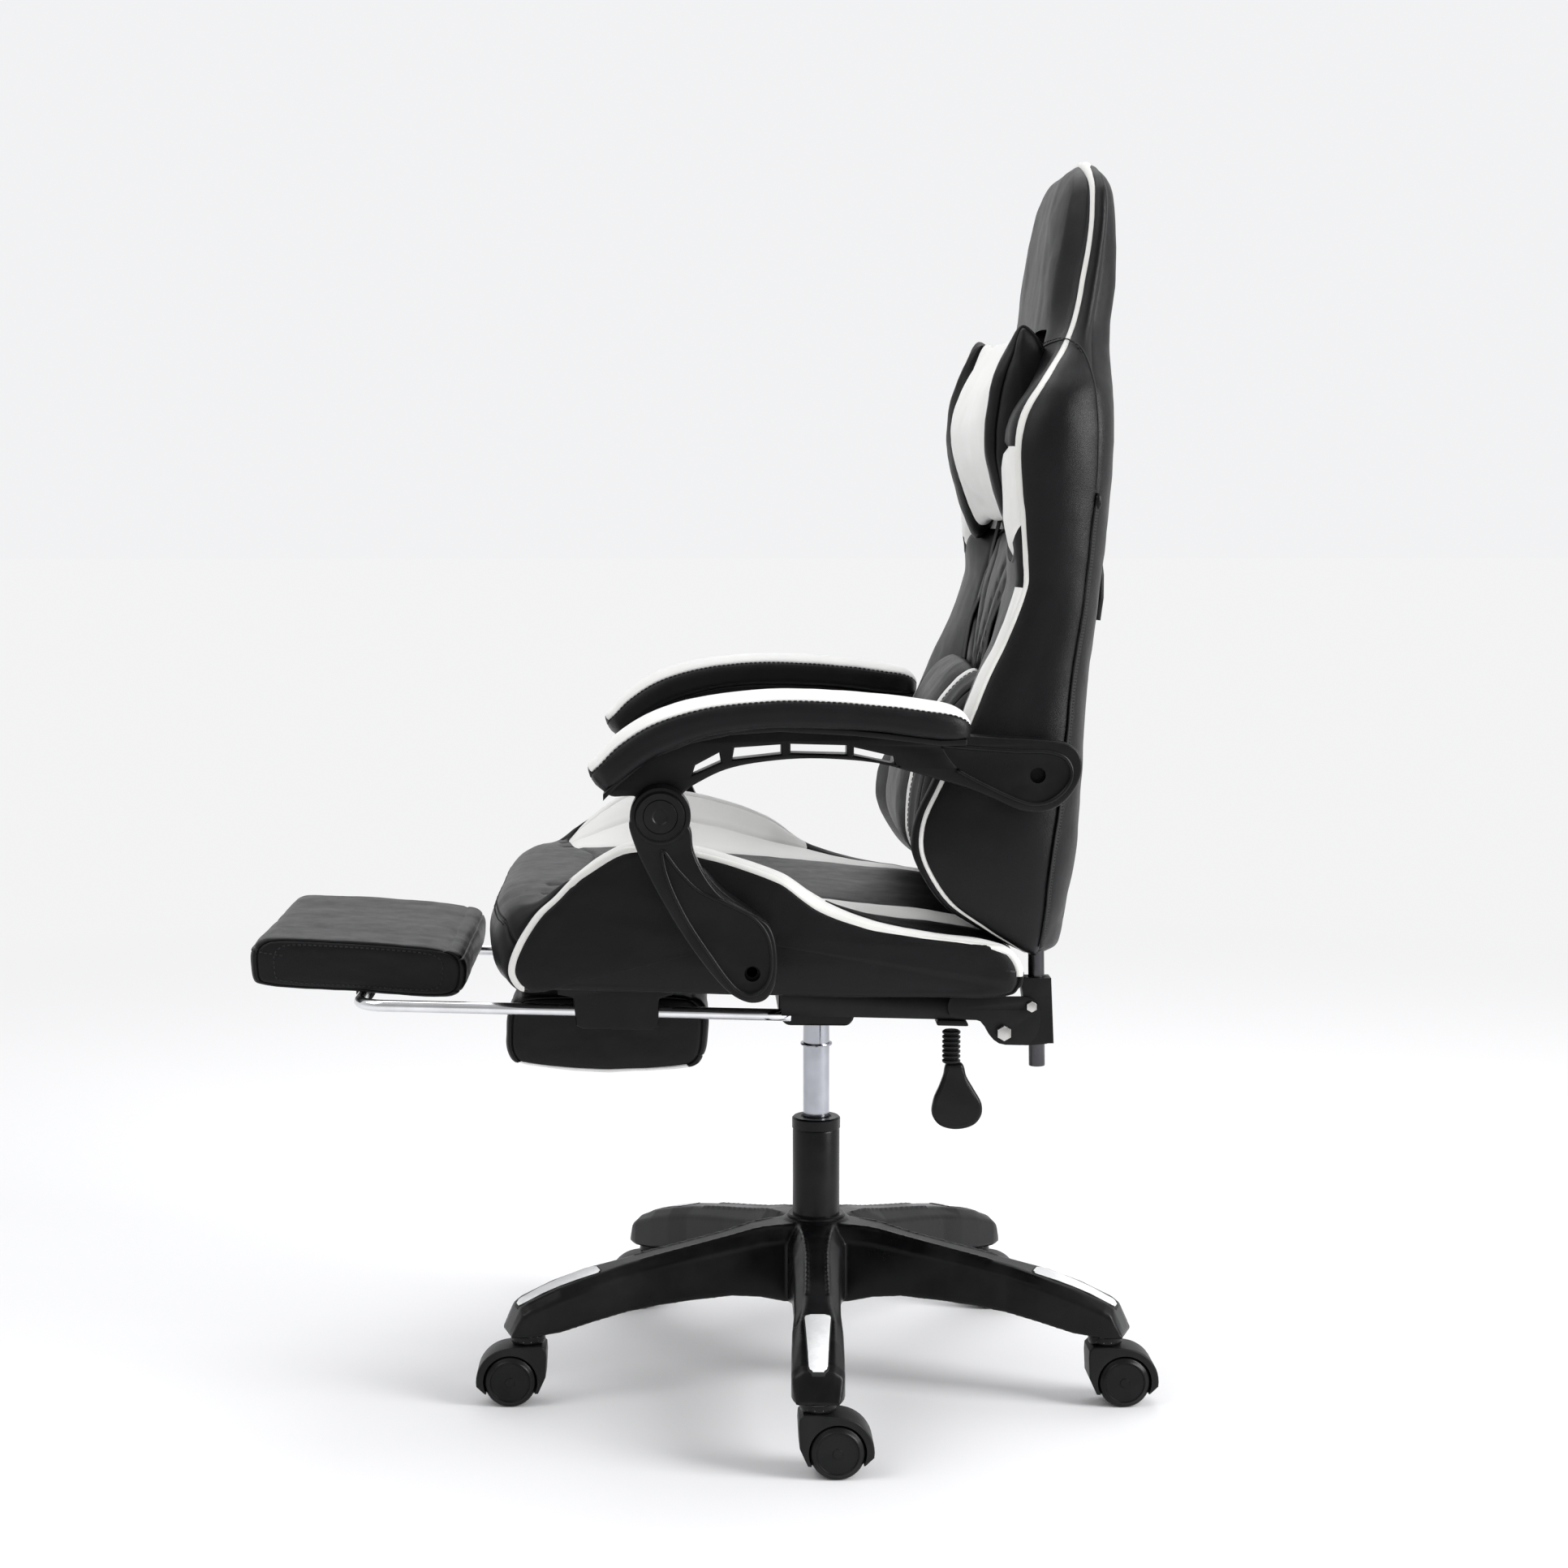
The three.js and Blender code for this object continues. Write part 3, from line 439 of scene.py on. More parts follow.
BLACK = leather("black_leather", (0.0018, 0.0018, 0.0024), (0.0034, 0.0034, 0.0042), 0.37, 0.21)
WHITE = leather("white_leather", (0.78, 0.78, 0.765), (0.72, 0.715, 0.70), 0.42, 0.45)
CORD = leather("piping_white", (0.76, 0.755, 0.73), (0.66, 0.655, 0.63), 0.38, 0.5)
NYLON = moulded("nylon_black", (0.0020, 0.0020, 0.0024), 0.32, specular=0.20)
HOOD = moulded("nylon_hood", (0.0055, 0.0055, 0.006), 0.44, specular=0.20)
SMOOTH = moulded("smooth_black", (0.0028, 0.0028, 0.0032), 0.32, 700, 0.00005, specular=0.20)
INLAY = moulded("inlay_silver", (0.66, 0.665, 0.67), 0.4, 900, 0.00006)
GROOVE = moulded("groove_black", (0.004, 0.004, 0.004), 0.7)
CHROME = metal("chrome", (0.78, 0.785, 0.8), 0.1, (1, 1, 1), 0.05)
PISTON = metal("ground_chrome", (0.42, 0.43, 0.47), 0.16, (1, 1, 0.05), 0.2)
STEEL = moulded("powder_coat", (0.0034, 0.0034, 0.0038), 0.38, 900, 0.0001, specular=0.20)
TUBE = metal("black_tube", (0.07, 0.07, 0.075), 0.3, (1, 1, 0.1), 0.2)
ZINC = metal("zinc", (0.58, 0.57, 0.55), 0.26, (1, 1, 1), 0.25)
THREAD = moulded("thread_black", (0.012, 0.012, 0.0125), 0.6, 3000, 0.0001, specular=0.25)
WEBBING = moulded("webbing", (0.008, 0.008, 0.0085), 0.65, 1400, 0.0004, specular=0.2)


# ------------------------------------------------------------------ padded skins from a control net
def uneven(point, size, amount):
    """Slow random unevenness in metres at a point, the same on every run."""
    p = Vector(point) / size
    return amount * (noise.noise(p) + 0.5 * noise.noise(p * 2.3 + Vector((7, 3, 1))))


def net_rows(net, row_spans):
    """Points of a smooth surface through a net of millimetre points, rows x columns x 3."""
    lines = np.array([spline(row, SEAM, True) for row in net])
    return np.stack([spline(lines[:, c], row_spans, False) for c in range(lines.shape[1])], axis=1)


def seam_profile(spans, count, seams, closed):
    """For samples along a row of net lines: how deep in a seam each lies (0 to 1), and its puff (0 to 1)."""
    total = count * len(spans) + (0 if closed else 1)
    groove = np.zeros(total)
    puff = np.zeros(total)
    for i in range(total):
        span, t = divmod(i, len(spans))
        t = spans[t] if i < count * len(spans) else 0.0
        here, after = span in seams, (span + 1 if not closed else (span + 1) % count) in seams
        groove[i] = max(math.exp(-(t / 0.05) ** 2) if here else 0,
                        math.exp(-((1 - t) / 0.05) ** 2) if after else 0)
        edges = (t / 0.5 if here else 1, (1 - t) / 0.5 if after else 1)
        puff[i] = min(1, edges[0]) ** 0.6 * min(1, edges[1]) ** 0.6 if (here or after) else 1
    return groove, puff


def padded_rows(net, row_seams, column_seams, puff, depth, rough, keep=None, row_spans=SEAM):
    """Rows of a padded surface: full between its seams and pulled in along them. Amounts are in
    millimetres; keep(r, c) scales the padding where r and c count net lines, and may be left out."""
    rows = net_rows(net, row_spans)
    row_count, column_count = len(net), len(net[0])
    groove_r, puff_r = seam_profile(row_spans, row_count - 1, row_seams, False)
    groove_c, puff_c = seam_profile(SEAM, column_count, column_seams, True)
    normals = outward_normals(rows)
    lift = np.zeros(rows.shape[:2])
    for r in range(rows.shape[0]):
        for c in range(rows.shape[1]):
            share = keep(r / len(row_spans), c / len(SEAM)) if keep else (1, 1, 1)
            dip = max(groove_r[r] * share[1], groove_c[c] * share[2])
            full = (1 - share[1] * (1 - puff_r[r])) * (1 - share[2] * (1 - puff_c[c]))
            lift[r, c] = puff * share[0] * full - depth * dip
    metres = rows + normals * lift[..., None]
    for r in range(rows.shape[0]):
        for c in range(rows.shape[1]):
            p = at(*metres[r, c])
            push = uneven(p, 0.06, rough) + uneven(p, 0.022, rough * 0.4)
            metres[r, c] = p + Vector(normals[r, c]) * push
    return metres


def span_pick(rule, row_spans=SEAM):
    """A face's material from the net spans that it lies in."""
    return lambda r, c: rule(r // len(row_spans), c // len(SEAM))


def over_rim(rows, line):
    """A line of stitches on a pad, given as (points, outward directions)."""
    return line, line - rows.mean(axis=(0, 1))


def stitches(name, paths, material, pitch=0.0052, length=0.0034, thick=0.0007):
    """Short raised threads along paths, each given as (points, outward directions)."""
    verts, faces = [], []
    for points, outs in paths:
        points = np.array(points)
        steps = np.linalg.norm(np.diff(points, axis=0), axis=1)
        reach = np.concatenate([[0], np.cumsum(steps)])
        count = int(reach[-1] / pitch)
        for k in range(count):
            place = (k + 0.5) * pitch
            i = min(int(np.searchsorted(reach, place)) - 1, len(steps) - 1)
            share = (place - reach[i]) / max(steps[i], 1e-9)
            middle = Vector(points[i] * (1 - share) + points[i + 1] * share)
            along = Vector(points[i + 1] - points[i]).normalized()
            out = Vector(outs[i]).normalized()
            side = along.cross(out).normalized() * thick
            top = middle + out * thick * 1.2
            start = len(verts)
            for end in (-1, 1):
                tip = along * (length / 2 * end)
                verts += [middle + tip - side, middle + tip + side]
                verts += [top + tip * 0.7 - side * 0.6, top + tip * 0.7 + side * 0.6]
            quads = [(0, 1, 3, 2), (4, 6, 7, 5), (2, 3, 7, 6), (0, 2, 6, 4), (1, 5, 7, 3), (0, 4, 5, 1)]
            faces += [tuple(start + v for v in quad) for quad in quads]
    return mesh_object(name, verts, faces, [material])


def mirrored_net(half):
    """A whole net from the lines in the middle and on the left side."""
    other = [[(-x, y, z) for x, y, z in line] for line in half[1:]]
    return other[::-1] + half


def side_line(x, outline):
    """A net line of (y, z) points at one x, or at an x for each point."""
    xs = x if isinstance(x, list) else [x] * len(outline)
    return [(x, y, z) for x, (y, z) in zip(xs, outline)]


def both_ways(net, steps):
    """The net lines that lie these many steps to each side of the middle one."""
    middle = (len(net) - 1) // 2
    return {middle + step * sign for step in steps for sign in (1, -1)}


def shrunk(line, x, share, middle):
    """A net line drawn in towards a middle (y, z), at another x."""
    return [(x, middle[0] + (y - middle[0]) * share, middle[1] + (z - middle[1]) * share) for _, y, z in line]


# ------------------------------------------------------------------ seat cushion
# Side outlines of the seat, as (y, z) at fixed places round it: under, front, top, rear.
SEAT_MIDDLE = [
    (-80, 457), (-270, 463), (-318, 471), (-331, 497), (-328, 532), (-308, 548), (-267, 551),
    (-236, 551), (-193, 549), (-126, 543), (-48, 539), (0, 536), (50, 532), (101, 528), (150, 518),
    (176, 502), (186, 478), (178, 455), (120, 453)]
SEAT_BAND = [
    (-80, 457), (-270, 463), (-316, 471), (-330, 497), (-327, 532), (-307, 548), (-288, 550),
    (-258, 552), (-193, 553), (-126, 548), (-48, 541), (0, 536), (50, 530), (101, 525), (150, 515),
    (175, 500), (186, 478), (178, 455), (120, 453)]
SEAT_INNER = [
    (-80, 457), (-268, 463), (-314, 471), (-326, 497), (-321, 529), (-301, 545), (-287, 547),
    (-267, 551), (-193, 576), (-126, 573), (-48, 554), (0, 540), (50, 528), (101, 521), (150, 512),
    (174, 499), (186, 477), (178, 455), (120, 453)]
SEAT_CREST = [
    (-80, 457), (-264, 463), (-305, 470), (-318, 496), (-312, 526), (-297, 541), (-284, 545),
    (-269, 553), (-193, 603), (-126, 599), (-48, 574), (-4, 546), (48, 526), (101, 515), (150, 508),
    (174, 497), (186, 476), (178, 455), (120, 453)]
SEAT_PIPING = [
    (-80, 458), (-262, 464), (-295, 465), (-306, 481), (-299, 506), (-281, 535), (-262, 553),
    (-237, 577), (-193, 600), (-126, 595), (-48, 569), (-9, 541), (46, 521), (101, 511), (150, 505),
    (173, 500), (185, 479), (177, 457), (120, 454)]
SEAT_INNER_X = [205] * 11 + [224, 210, 203, 202, 202, 202, 205, 205]
FRONT_SEAM, RAMP, SLIVER, REAR_END = 4, 7, 11, 16        # columns of the outlines above
BAND, INNER, BOLSTER, PIPED = 2, 3, 4, 5                 # lines of the net, counted from the middle


def seat_net():
    ends = [shrunk(side_line(0, SEAT_PIPING), x, share, (-80, 512))
            for x, share in ((259, 0.86), (261.4, 0.5), (261.6, 0.12))]
    return mirrored_net([side_line(0, SEAT_MIDDLE), side_line(80, SEAT_MIDDLE), side_line(150, SEAT_BAND),
                         side_line(SEAT_INNER_X, SEAT_INNER), side_line(240, SEAT_CREST),
                         side_line(255.5, SEAT_PIPING), *ends])


def build_seat():
    """The seat: a black middle, white bolsters, a black sliver down each, and piping round both sides."""
    net = seat_net()
    middle = (len(net) - 1) / 2

    def keep(r, c):
        across = abs(r - middle)
        on_top = RAMP - 0.5 <= c <= REAR_END
        under = c > REAR_END + 0.5 or c < 1.5
        row_share = 1.0 if (on_top or abs(across - PIPED) < 0.3) else 0.0
        return (0.15 if under else 1, row_share, 1.0 if across < PIPED else 0.0)

    def rule(r, c):
        across = abs(r + 0.5 - middle)
        end = SLIVER if INNER < across < BOLSTER else REAR_END
        return 1 if BAND < across < PIPED and RAMP <= c < end else 0

    seams = both_ways(net, (BAND, INNER, BOLSTER, PIPED))
    rows = padded_rows(net, seams, {FRONT_SEAM, RAMP}, 2.6, 2.2, 0.0009, keep)
    seat = skin("seat_pad", rows, [BLACK, WHITE], span_pick(rule))
    on_body(seat, "seat", "black_leather", "seat_cushion")
    for sign, side in SIDES:
        line = rows[(int(middle) + PIPED * sign) * len(SEAM)]
        path = line[2 * len(SEAM) - 1:REAR_END * len(SEAM) + 4] + np.array([sign * 0.0014, 0, 0])
        on_body(tube(f"seat_piping_{side}", path, 0.0044, CORD), "seat", "white_leather")
    normals = outward_normals(rows)
    margin = int(4.2 * len(SEAM))        # the stitches stop short of the piping
    threads = [(rows[margin:-margin, c], normals[margin:-margin, c])
               for c in (FRONT_SEAM * len(SEAM) - 2, FRONT_SEAM * len(SEAM) + 2)]
    on_body(stitches("seat_stitching", threads, THREAD), "seat", "black_leather")


# ------------------------------------------------------------------ backrest cushion
HALF = smooth_table(
    (490, 226), (498, 234), (522, 244), (560, 256), (601, 260), (700, 257), (800, 252), (900, 257),
    (984, 260), (1015, 256), (1040, 244), (1062, 222), (1085, 199), (1110, 182), (1150, 172),
    (1200, 166), (1232, 152), (1246, 131), (1255, 106), (1259, 88))
PIPING = smooth_table(
    (490, 199), (498, 186), (522, 150), (545, 118), (577, 96), (601, 88), (628, 91), (662, 107),
    (726, 137), (753, 147), (792, 166), (823, 180), (839, 187), (869, 189), (908, 186), (984, 181),
    (1015, 187), (1040, 203), (1062, 219), (1085, 234), (1102, 243), (1122, 249), (1156, 255),
    (1189, 261), (1223, 265), (1243, 266), (1259, 264))
MIDDLE = smooth_table(
    (490, 203), (498, 194), (512, 182), (530, 170), (560, 160), (600, 156), (700, 161), (772, 170),
    (850, 188), (903, 204), (984, 212), (1060, 216), (1105, 222), (1150, 227), (1198, 233), (1232, 241),
    (1246, 247), (1255, 253), (1259, 260))
REAR = smooth_table(
    (490, 222), (498, 230), (540, 234), (600, 243), (645, 245), (709, 249), (796, 257), (881, 267),
    (978, 274), (1087, 276), (1144, 285), (1185, 286), (1225, 284), (1243, 280), (1252, 275),
    (1259, 269))
ZIP = smooth_table(
    (490, 206), (524, 209), (587, 214), (635, 221), (709, 228), (768, 234), (838, 244), (908, 251),
    (945, 255), (993, 256), (1058, 254), (1090, 256), (1156, 268), (1225, 275), (1259, 268))
STRIPE = smooth_table(
    (490, 14), (680, 6), (760, 14), (850, 8), (903, 28), (985, 28), (1085, 20), (1150, 18), (1259, 10))
CREST = smooth_table(
    (490, 48), (600, 62), (800, 60), (903, 80), (985, 80), (1085, 52), (1150, 46), (1259, 24))
BULGE = smooth_table((490, 1), (560, 5), (800, 5), (905, 9), (985, 8), (1062, 5), (1150, 7), (1259, 2))
SHARE = smooth_table((490, 0.3), (800, 0.3), (905, 0.2), (985, 0.15), (1062, 0.4), (1150, 0.55), (1259, 0.5))
ZIP_TUCK = smooth_table((490, 6), (800, 6), (905, 11), (1000, 15), (1062, 9), (1259, 9))
PIPING_TUCK = smooth_table((490, 5), (840, 5), (930, 9), (1010, 12), (1062, 7), (1259, 6))
YOKE_LOW, YOKE_HIGH, STRIPE_LOW, STRIPE_HIGH = 903, 985, 680, 850
BACK_HEIGHTS = [490, 496, 508, 524, 545, 577, 601, 628, 655, 680, 705, 735, 765, 800, 850, 875, 903, 945, 985,
                1015, 1040, 1062, 1085, 1110, 1150, 1198, 1228, 1243, 1252, 1257, 1259]
ZIP_COLUMN, PIPING_COLUMN, FRONT_COLUMN, BACK_COLUMNS = 3, 5, 8, 10      # counted from the rear's middle
FOLDED, FOLD_DIP = 7.4, 7              # the column where the folded front begins, and the folds' depth
CHANNELS = (((128, 900), (36, 762)), ((70, 902), (8, 770)))      # sewn folds down the front, as (x, z)


def back_net():
    net = []
    for z in BACK_HEIGHTS:
        half, piping, middle, rear, zipped = HALF(z), PIPING(z), MIDDLE(z), REAR(z), ZIP(z)
        zipped = min(zipped, rear - 4)
        crest = piping + (middle - piping) * SHARE(z) - BULGE(z)
        side = [(0.45 * half, rear), (0.82 * half, rear - 1), (half - ZIP_TUCK(z), zipped),
                (half, (zipped + piping) / 2 + 2), (half - PIPING_TUCK(z), piping),
                (half - STRIPE(z) - PIPING_TUCK(z), piping - BULGE(z) * 0.8),
                (half - CREST(z), crest), (0.48 * half, middle), (0.24 * half, middle)]
        dip = {5: -9, 6: 26, 7: 4} if z == YOKE_LOW else {}
        z = z + max(0, z - 1198) * 0.13
        right = [(x, y, z - dip.get(i + 1, 0)) for i, (x, y) in enumerate(side)]
        left = [(-x, y, height) for x, y, height in right[::-1]]
        net.append([(0, rear, z), *right, (0, middle, z), *left])
    return net


def fold_depth(x, z):
    """How far a sewn fold down the front pulls the padding in at a place, from 0 to 1."""
    deepest = 0.0
    for (x0, z0), (x1, z1) in CHANNELS:
        share = min(max((z0 - z) / (z0 - z1), 0), 1)
        away = math.hypot(abs(x) - (x0 + (x1 - x0) * share), z - (z0 + (z1 - z0) * share))
        deepest = max(deepest, math.exp(-(away / 5.5) ** 2) + 0.25 * math.exp(-(away / 16) ** 2))
    return min(deepest, 1)


def build_back():
    """The back: bucket sides, a white yoke and side stripes, and two folds sewn down the front."""
    net = back_net()
    count = len(net[0])

    def column(c):
        return c if c <= BACK_COLUMNS else count - c

    def keep(r, c):
        z = BACK_HEIGHTS[min(int(r), len(BACK_HEIGHTS) - 1)]
        c = column(c)
        front = 5.5 < c
        yoke = front and YOKE_LOW - 30 <= z <= YOKE_HIGH
        taper = min(1, (r + 0.5) / 4, (len(BACK_HEIGHTS) - r) / 4)
        wing_seam = 1.0 if c < 6.5 else min(1, max(0, (1075 - z) / 60))
        return (taper * (0.3 if c < 2 else 1), 1.0 if yoke else 0.0, wing_seam if 4 < c < 9 else 0.25)

    def rule(r, c):
        c = c if c < BACK_COLUMNS else count - 1 - c
        z = BACK_HEIGHTS[r]
        if c >= PIPING_COLUMN and YOKE_LOW <= z < YOKE_HIGH:
            return 1
        return 1 if c == PIPING_COLUMN and STRIPE_LOW <= z < STRIPE_HIGH else 0

    half_seams = {ZIP_COLUMN, PIPING_COLUMN, FRONT_COLUMN}
    column_seams = half_seams | {count - c for c in half_seams}
    row_seams = {BACK_HEIGHTS.index(YOKE_LOW), BACK_HEIGHTS.index(YOKE_HIGH)}
    rows = padded_rows(net, row_seams, column_seams, 4.0, 2.4, 0.0010, keep, row_spans=EVEN)
    normals = outward_normals(rows)
    for r in range(rows.shape[0]):
        for c in range(rows.shape[1]):
            if column(c / len(SEAM)) > FOLDED:
                x, z = rows[r, c][0] / MM, rows[r, c][2] / MM
                rows[r, c] = rows[r, c] - normals[r, c] * fold_depth(x, z) * FOLD_DIP * MM
    back = skin("back_pad", rows, [BLACK, WHITE], span_pick(rule, EVEN))
    for sign, _ in SIDES:
        subtract(back, slot_block(sign))
    set_sharp(back, 50)
    on_body(back, "back", "black_leather", "backrest_cushion")
    build_back_piping(rows)
    build_zip(rows, normals)
    build_side_seams(back)
    build_straps(back)


def build_back_piping(rows):
    """One cord up the left edge of the front, over the head and down the right, thicker at the head."""
    left, right = (rows[3:-2, sign * PIPING_COLUMN * len(SEAM)] for sign, _ in SIDES)
    over = [left[-1] * (1 - t) + right[-1] * t + np.array([0, 0, 0.003])
            for t in (0.15, 0.35, 0.5, 0.65, 0.85)]
    path = spline(np.vstack([left[::3], over, right[::-1][::3]]), (0, 0.5), False)
    thick = np.interp(path[:, 2], (0.62, 0.96, 1.03), (0.0037, 0.0050, 0.0062))
    on_body(tube("back_piping", path, thick, CORD), "back", "white_leather")


def slot_block(sign):
    """The rounded block that cuts one strap slot through the head of the back."""
    outline = smooth_outline([(72, 1074), (76, 1070), (138, 1070), (143, 1074), (136, 1098), (132, 1102),
                              (80, 1102), (76, 1098)], 3)
    low = [(sign * x * MM, 0.1 + AXIS_Y, z * MM) for x, z in outline]
    high = [(x, y + 0.3, z) for x, y, z in low]
    return skin("slot_cutter", np.array([low, high]), [BLACK])


def build_zip(rows, outs):
    """A zip down each rear edge: two teeth bands, a dark groove between them and a slider at the top."""
    for sign, side in SIDES:
        column = sign * ZIP_COLUMN * len(SEAM)
        heights = rows[:, column][:, 2]
        chosen = [i for i in range(rows.shape[0]) if 0.498 < heights[i] < 0.938]
        line, out = rows[chosen, column], outs[chosen, column]
        lifted = line + out * 0.0022
        parts = [tube("zip_tape", lifted, 0.0032, THREAD, flat=0.35, up=tuple(out[0]))]
        teeth = [(lifted + np.cross(out, [0, 0, 1]) * shift, out) for shift in (-0.0011, 0.0011)]
        parts.append(stitches("zip_teeth", teeth, SMOOTH, 0.0031, 0.0018, 0.0011))
        slider = tube("zip_slider", [lifted[-1] + Vector((0, 0, z)) for z in (-0.012, -0.008, -0.002, 0.003)],
                      np.array([0.0015, 0.0034, 0.0034, 0.0018]), SMOOTH)
        obj = joined(f"back_zip_{side}", parts + [slider])
        on_body(obj, "back", "black_leather")


def cast(obj, start, way):
    """Where a ray meets the object: (point, outward normal), in metres."""
    hit, point, normal, _ = obj.ray_cast(start, Vector(way))
    if not hit:
        raise ValueError(f"nothing of {obj.name} lies along {way} from {start}")
    return point, normal


def build_side_seams(back):
    """A stitched seam on each side of the back, arching over the shoulder and down to the zip."""
    arc = spline([(214, 1083), (224, 1088), (234, 1089), (243, 1083), (250, 1070), (254, 1052), (256.5, 1023),
                  (257, 993), (256.5, 962), (255, 944)], EVEN, False)
    for sign, side in SIDES:
        found = [cast(back, at(400 * sign, y, z), (-sign, 0, 0)) for y, z in arc]
        line = tube("side_seam", [p + n * 0.0001 for p, n in found], 0.0009, GROOVE, sides=6)
        beside = np.array([p + Vector((0, -3.2 * MM, 0.4 * 3.2 * MM)) for p, _ in found])
        thread = stitches("side_stitches", [(beside, np.array([n for _, n in found]))], THREAD)
        on_body(joined(f"back_side_seam_{side}", [line, thread]), "back", "black_leather")


STRAP_X = 157          # where the straps run down the rear


def build_straps(back):
    """The lumbar straps: up the front, through the slots and down the rear, each with a ladder buckle."""
    for sign, side in SIDES:
        route = []
        for z in range(738, 1062, 36):
            point, normal = cast(back, at((88 + (z - 738) * 0.055) * sign, -200, z), (0, 1, 0))
            route.append(point + normal * 0.0014)
        route += [at(107 * sign, y, z)
                  for y, z in ((218, 1072), (228, 1082), (252, 1084), (277, 1082), (283, 1068))]
        for z in range(1040, 500, -36):
            x = 107 + (1040 - z) * 0.26 if z > 850 else STRAP_X
            point, normal = cast(back, at(x * sign, 500, z), (0, -1, 0))
            route.append(point + normal * 0.0016)
        points = spline(route, (0, 0.34, 0.67), False)
        strap = tube(f"lumbar_strap_{side}", points, 0.0125, WEBBING, sides=12)
        flatten_strap(strap, points, 12, 0.0009)
        on_body(strap, "back", "black_leather")
        rear, _ = cast(back, at(STRAP_X * sign, 500, 850), (0, -1, 0))
        buckle = ladder_buckle(f"strap_buckle_{side}", STRAP_X * sign, rear.y)
        on_body(buckle, "back", "nylon", *(["strap_buckle"] if sign > 0 else []))


def ladder_buckle(name, middle, rear):
    """Four bars between two bent rails; rear is the y of the leather under it, in metres."""
    parts = []
    for z, lift in ((818, 0.0040), (838, 0.0065), (860, 0.0065), (882, 0.0040)):
        place = at(middle, 0, z)
        place.y = rear + lift
        ends = [place + Vector((x, 0, 0)) for x in (-0.0175, 0.0175)]
        parts.append(tube("bar", ends, 0.0042, NYLON, sides=16))
    for x in (-17, 17):
        rail = [Vector(((middle + x) * MM, rear + y * MM, z * MM))
                for y, z in ((3.6, 816), (6.5, 838), (6.5, 860), (3.6, 884))]
        parts.append(tube("rail", rail, 0.0036, NYLON, sides=16))
    return joined(name, parts)


def flatten_strap(strap, centre, sides, thick):
    """Presses a round tube into webbing: full width along X, thin across."""
    co = np.array([v.co for v in strap.data.vertices])
    for i, middle in enumerate(centre):
        ring = slice(i * sides, (i + 1) * sides)
        offset = co[ring] - middle
        across = offset[:, :1] * np.array([[1, 0, 0]])
        rest = offset - across
        length = np.linalg.norm(rest, axis=1, keepdims=True)
        co[ring] = middle + across + rest / np.maximum(length, 1e-9) * np.minimum(length, thick)
    for vertex, place in zip(strap.data.vertices, co):
        vertex.co = place


# ------------------------------------------------------------------ pillows
HEAD_MIDDLE = [
    (189, 916), (178, 931), (165, 955), (155, 984), (152, 1012), (161, 1044), (179, 1074), (192, 1092),
    (202, 1077), (203, 1040), (204, 984), (199, 925)]
HEAD_INNER = [
    (190, 912), (178, 929), (167, 955), (157, 985), (155, 1014), (164, 1045), (182, 1076), (194, 1096),
    (203, 1080), (205, 1040), (206, 984), (201, 925)]
HEAD_SEAM = [
    (191, 907), (178, 925), (168, 955), (162, 988), (165, 1018), (174, 1050), (186, 1083), (195, 1099),
    (204, 1085), (209, 1040), (209, 984), (204, 924)]
HEAD_SEAM_X = [132, 126, 119, 117, 121, 130, 137, 140, 138, 134, 122, 126]
HEAD_LOBE = [
    (190, 897), (175, 919), (164, 953), (157, 988), (158, 1020), (164, 1050), (177, 1080), (191, 1098),
    (208, 1080), (216, 1040), (216, 984), (208, 922)]
HEAD_EDGE = [
    (189, 895), (178, 920), (168, 955), (164, 988), (166, 1020), (172, 1050), (182, 1080), (190, 1103),
    (210, 1080), (220, 1040), (220, 984), (212, 922)]
HEAD_LOBE_X = [143] * 3 + [147] * 3 + [143] * 6
HEAD_YAW = 0.035       # the pillow hangs slightly turned, as a strapped-on pillow does


def build_pillow(name, slot, node, net, seams, stripe, depth, rough, stitched):
    """A two-tone pillow, white between the two net lines of `stripe` on each half. `stitched` lists a
    net line and how many samples beside it a row of stitches runs."""
    middle = (len(net) - 1) // 2

    def rule(r, c):
        return 1 if stripe[0] < abs(r + 0.5 - middle) < stripe[1] else 0

    rows = padded_rows(net, both_ways(net, seams), set(), 3.0, depth, rough)
    pillow = skin(name + "_cover", rows, [BLACK, WHITE], span_pick(rule))
    on_body(pillow, "back", slot, node)
    threads = [over_rim(rows, rows[(middle + step * sign) * len(SEAM) + beside * sign])
               for step, beside in stitched for sign in (1, -1)]
    on_body(stitches(name + "_stitching", threads, THREAD), "back", "black_leather")


def build_head_pillow():
    middle = (187, 1004)
    edge = side_line(155, HEAD_EDGE)
    half = [side_line(0, HEAD_MIDDLE), side_line(60, HEAD_MIDDLE), side_line(98, HEAD_INNER),
            side_line(HEAD_SEAM_X, HEAD_SEAM), side_line(HEAD_LOBE_X, HEAD_LOBE), edge,
            shrunk(edge, 161, 0.72, middle), shrunk(edge, 163, 0.3, middle)]
    net = [[(x, y + HEAD_YAW * x, z) for x, y, z in line] for line in mirrored_net(half)]
    build_pillow("head_pillow", "white_leather", "head_pillow", net, (3, 5), (0, 3), 1.8, 0.0016, ((3, 2),))


LUMBAR_MIDDLE = [
    (152, 566), (120, 563), (96, 579), (83, 605), (83, 641), (96, 690), (111, 726), (132, 756),
    (152, 766), (160, 735), (155, 690), (152, 640), (152, 600)]
LUMBAR_OUTER = [
    (154, 563), (126, 557), (103, 571), (94, 599), (95, 632), (104, 678), (118, 716), (140, 747),
    (159, 757), (166, 735), (160, 690), (157, 640), (157, 600)]


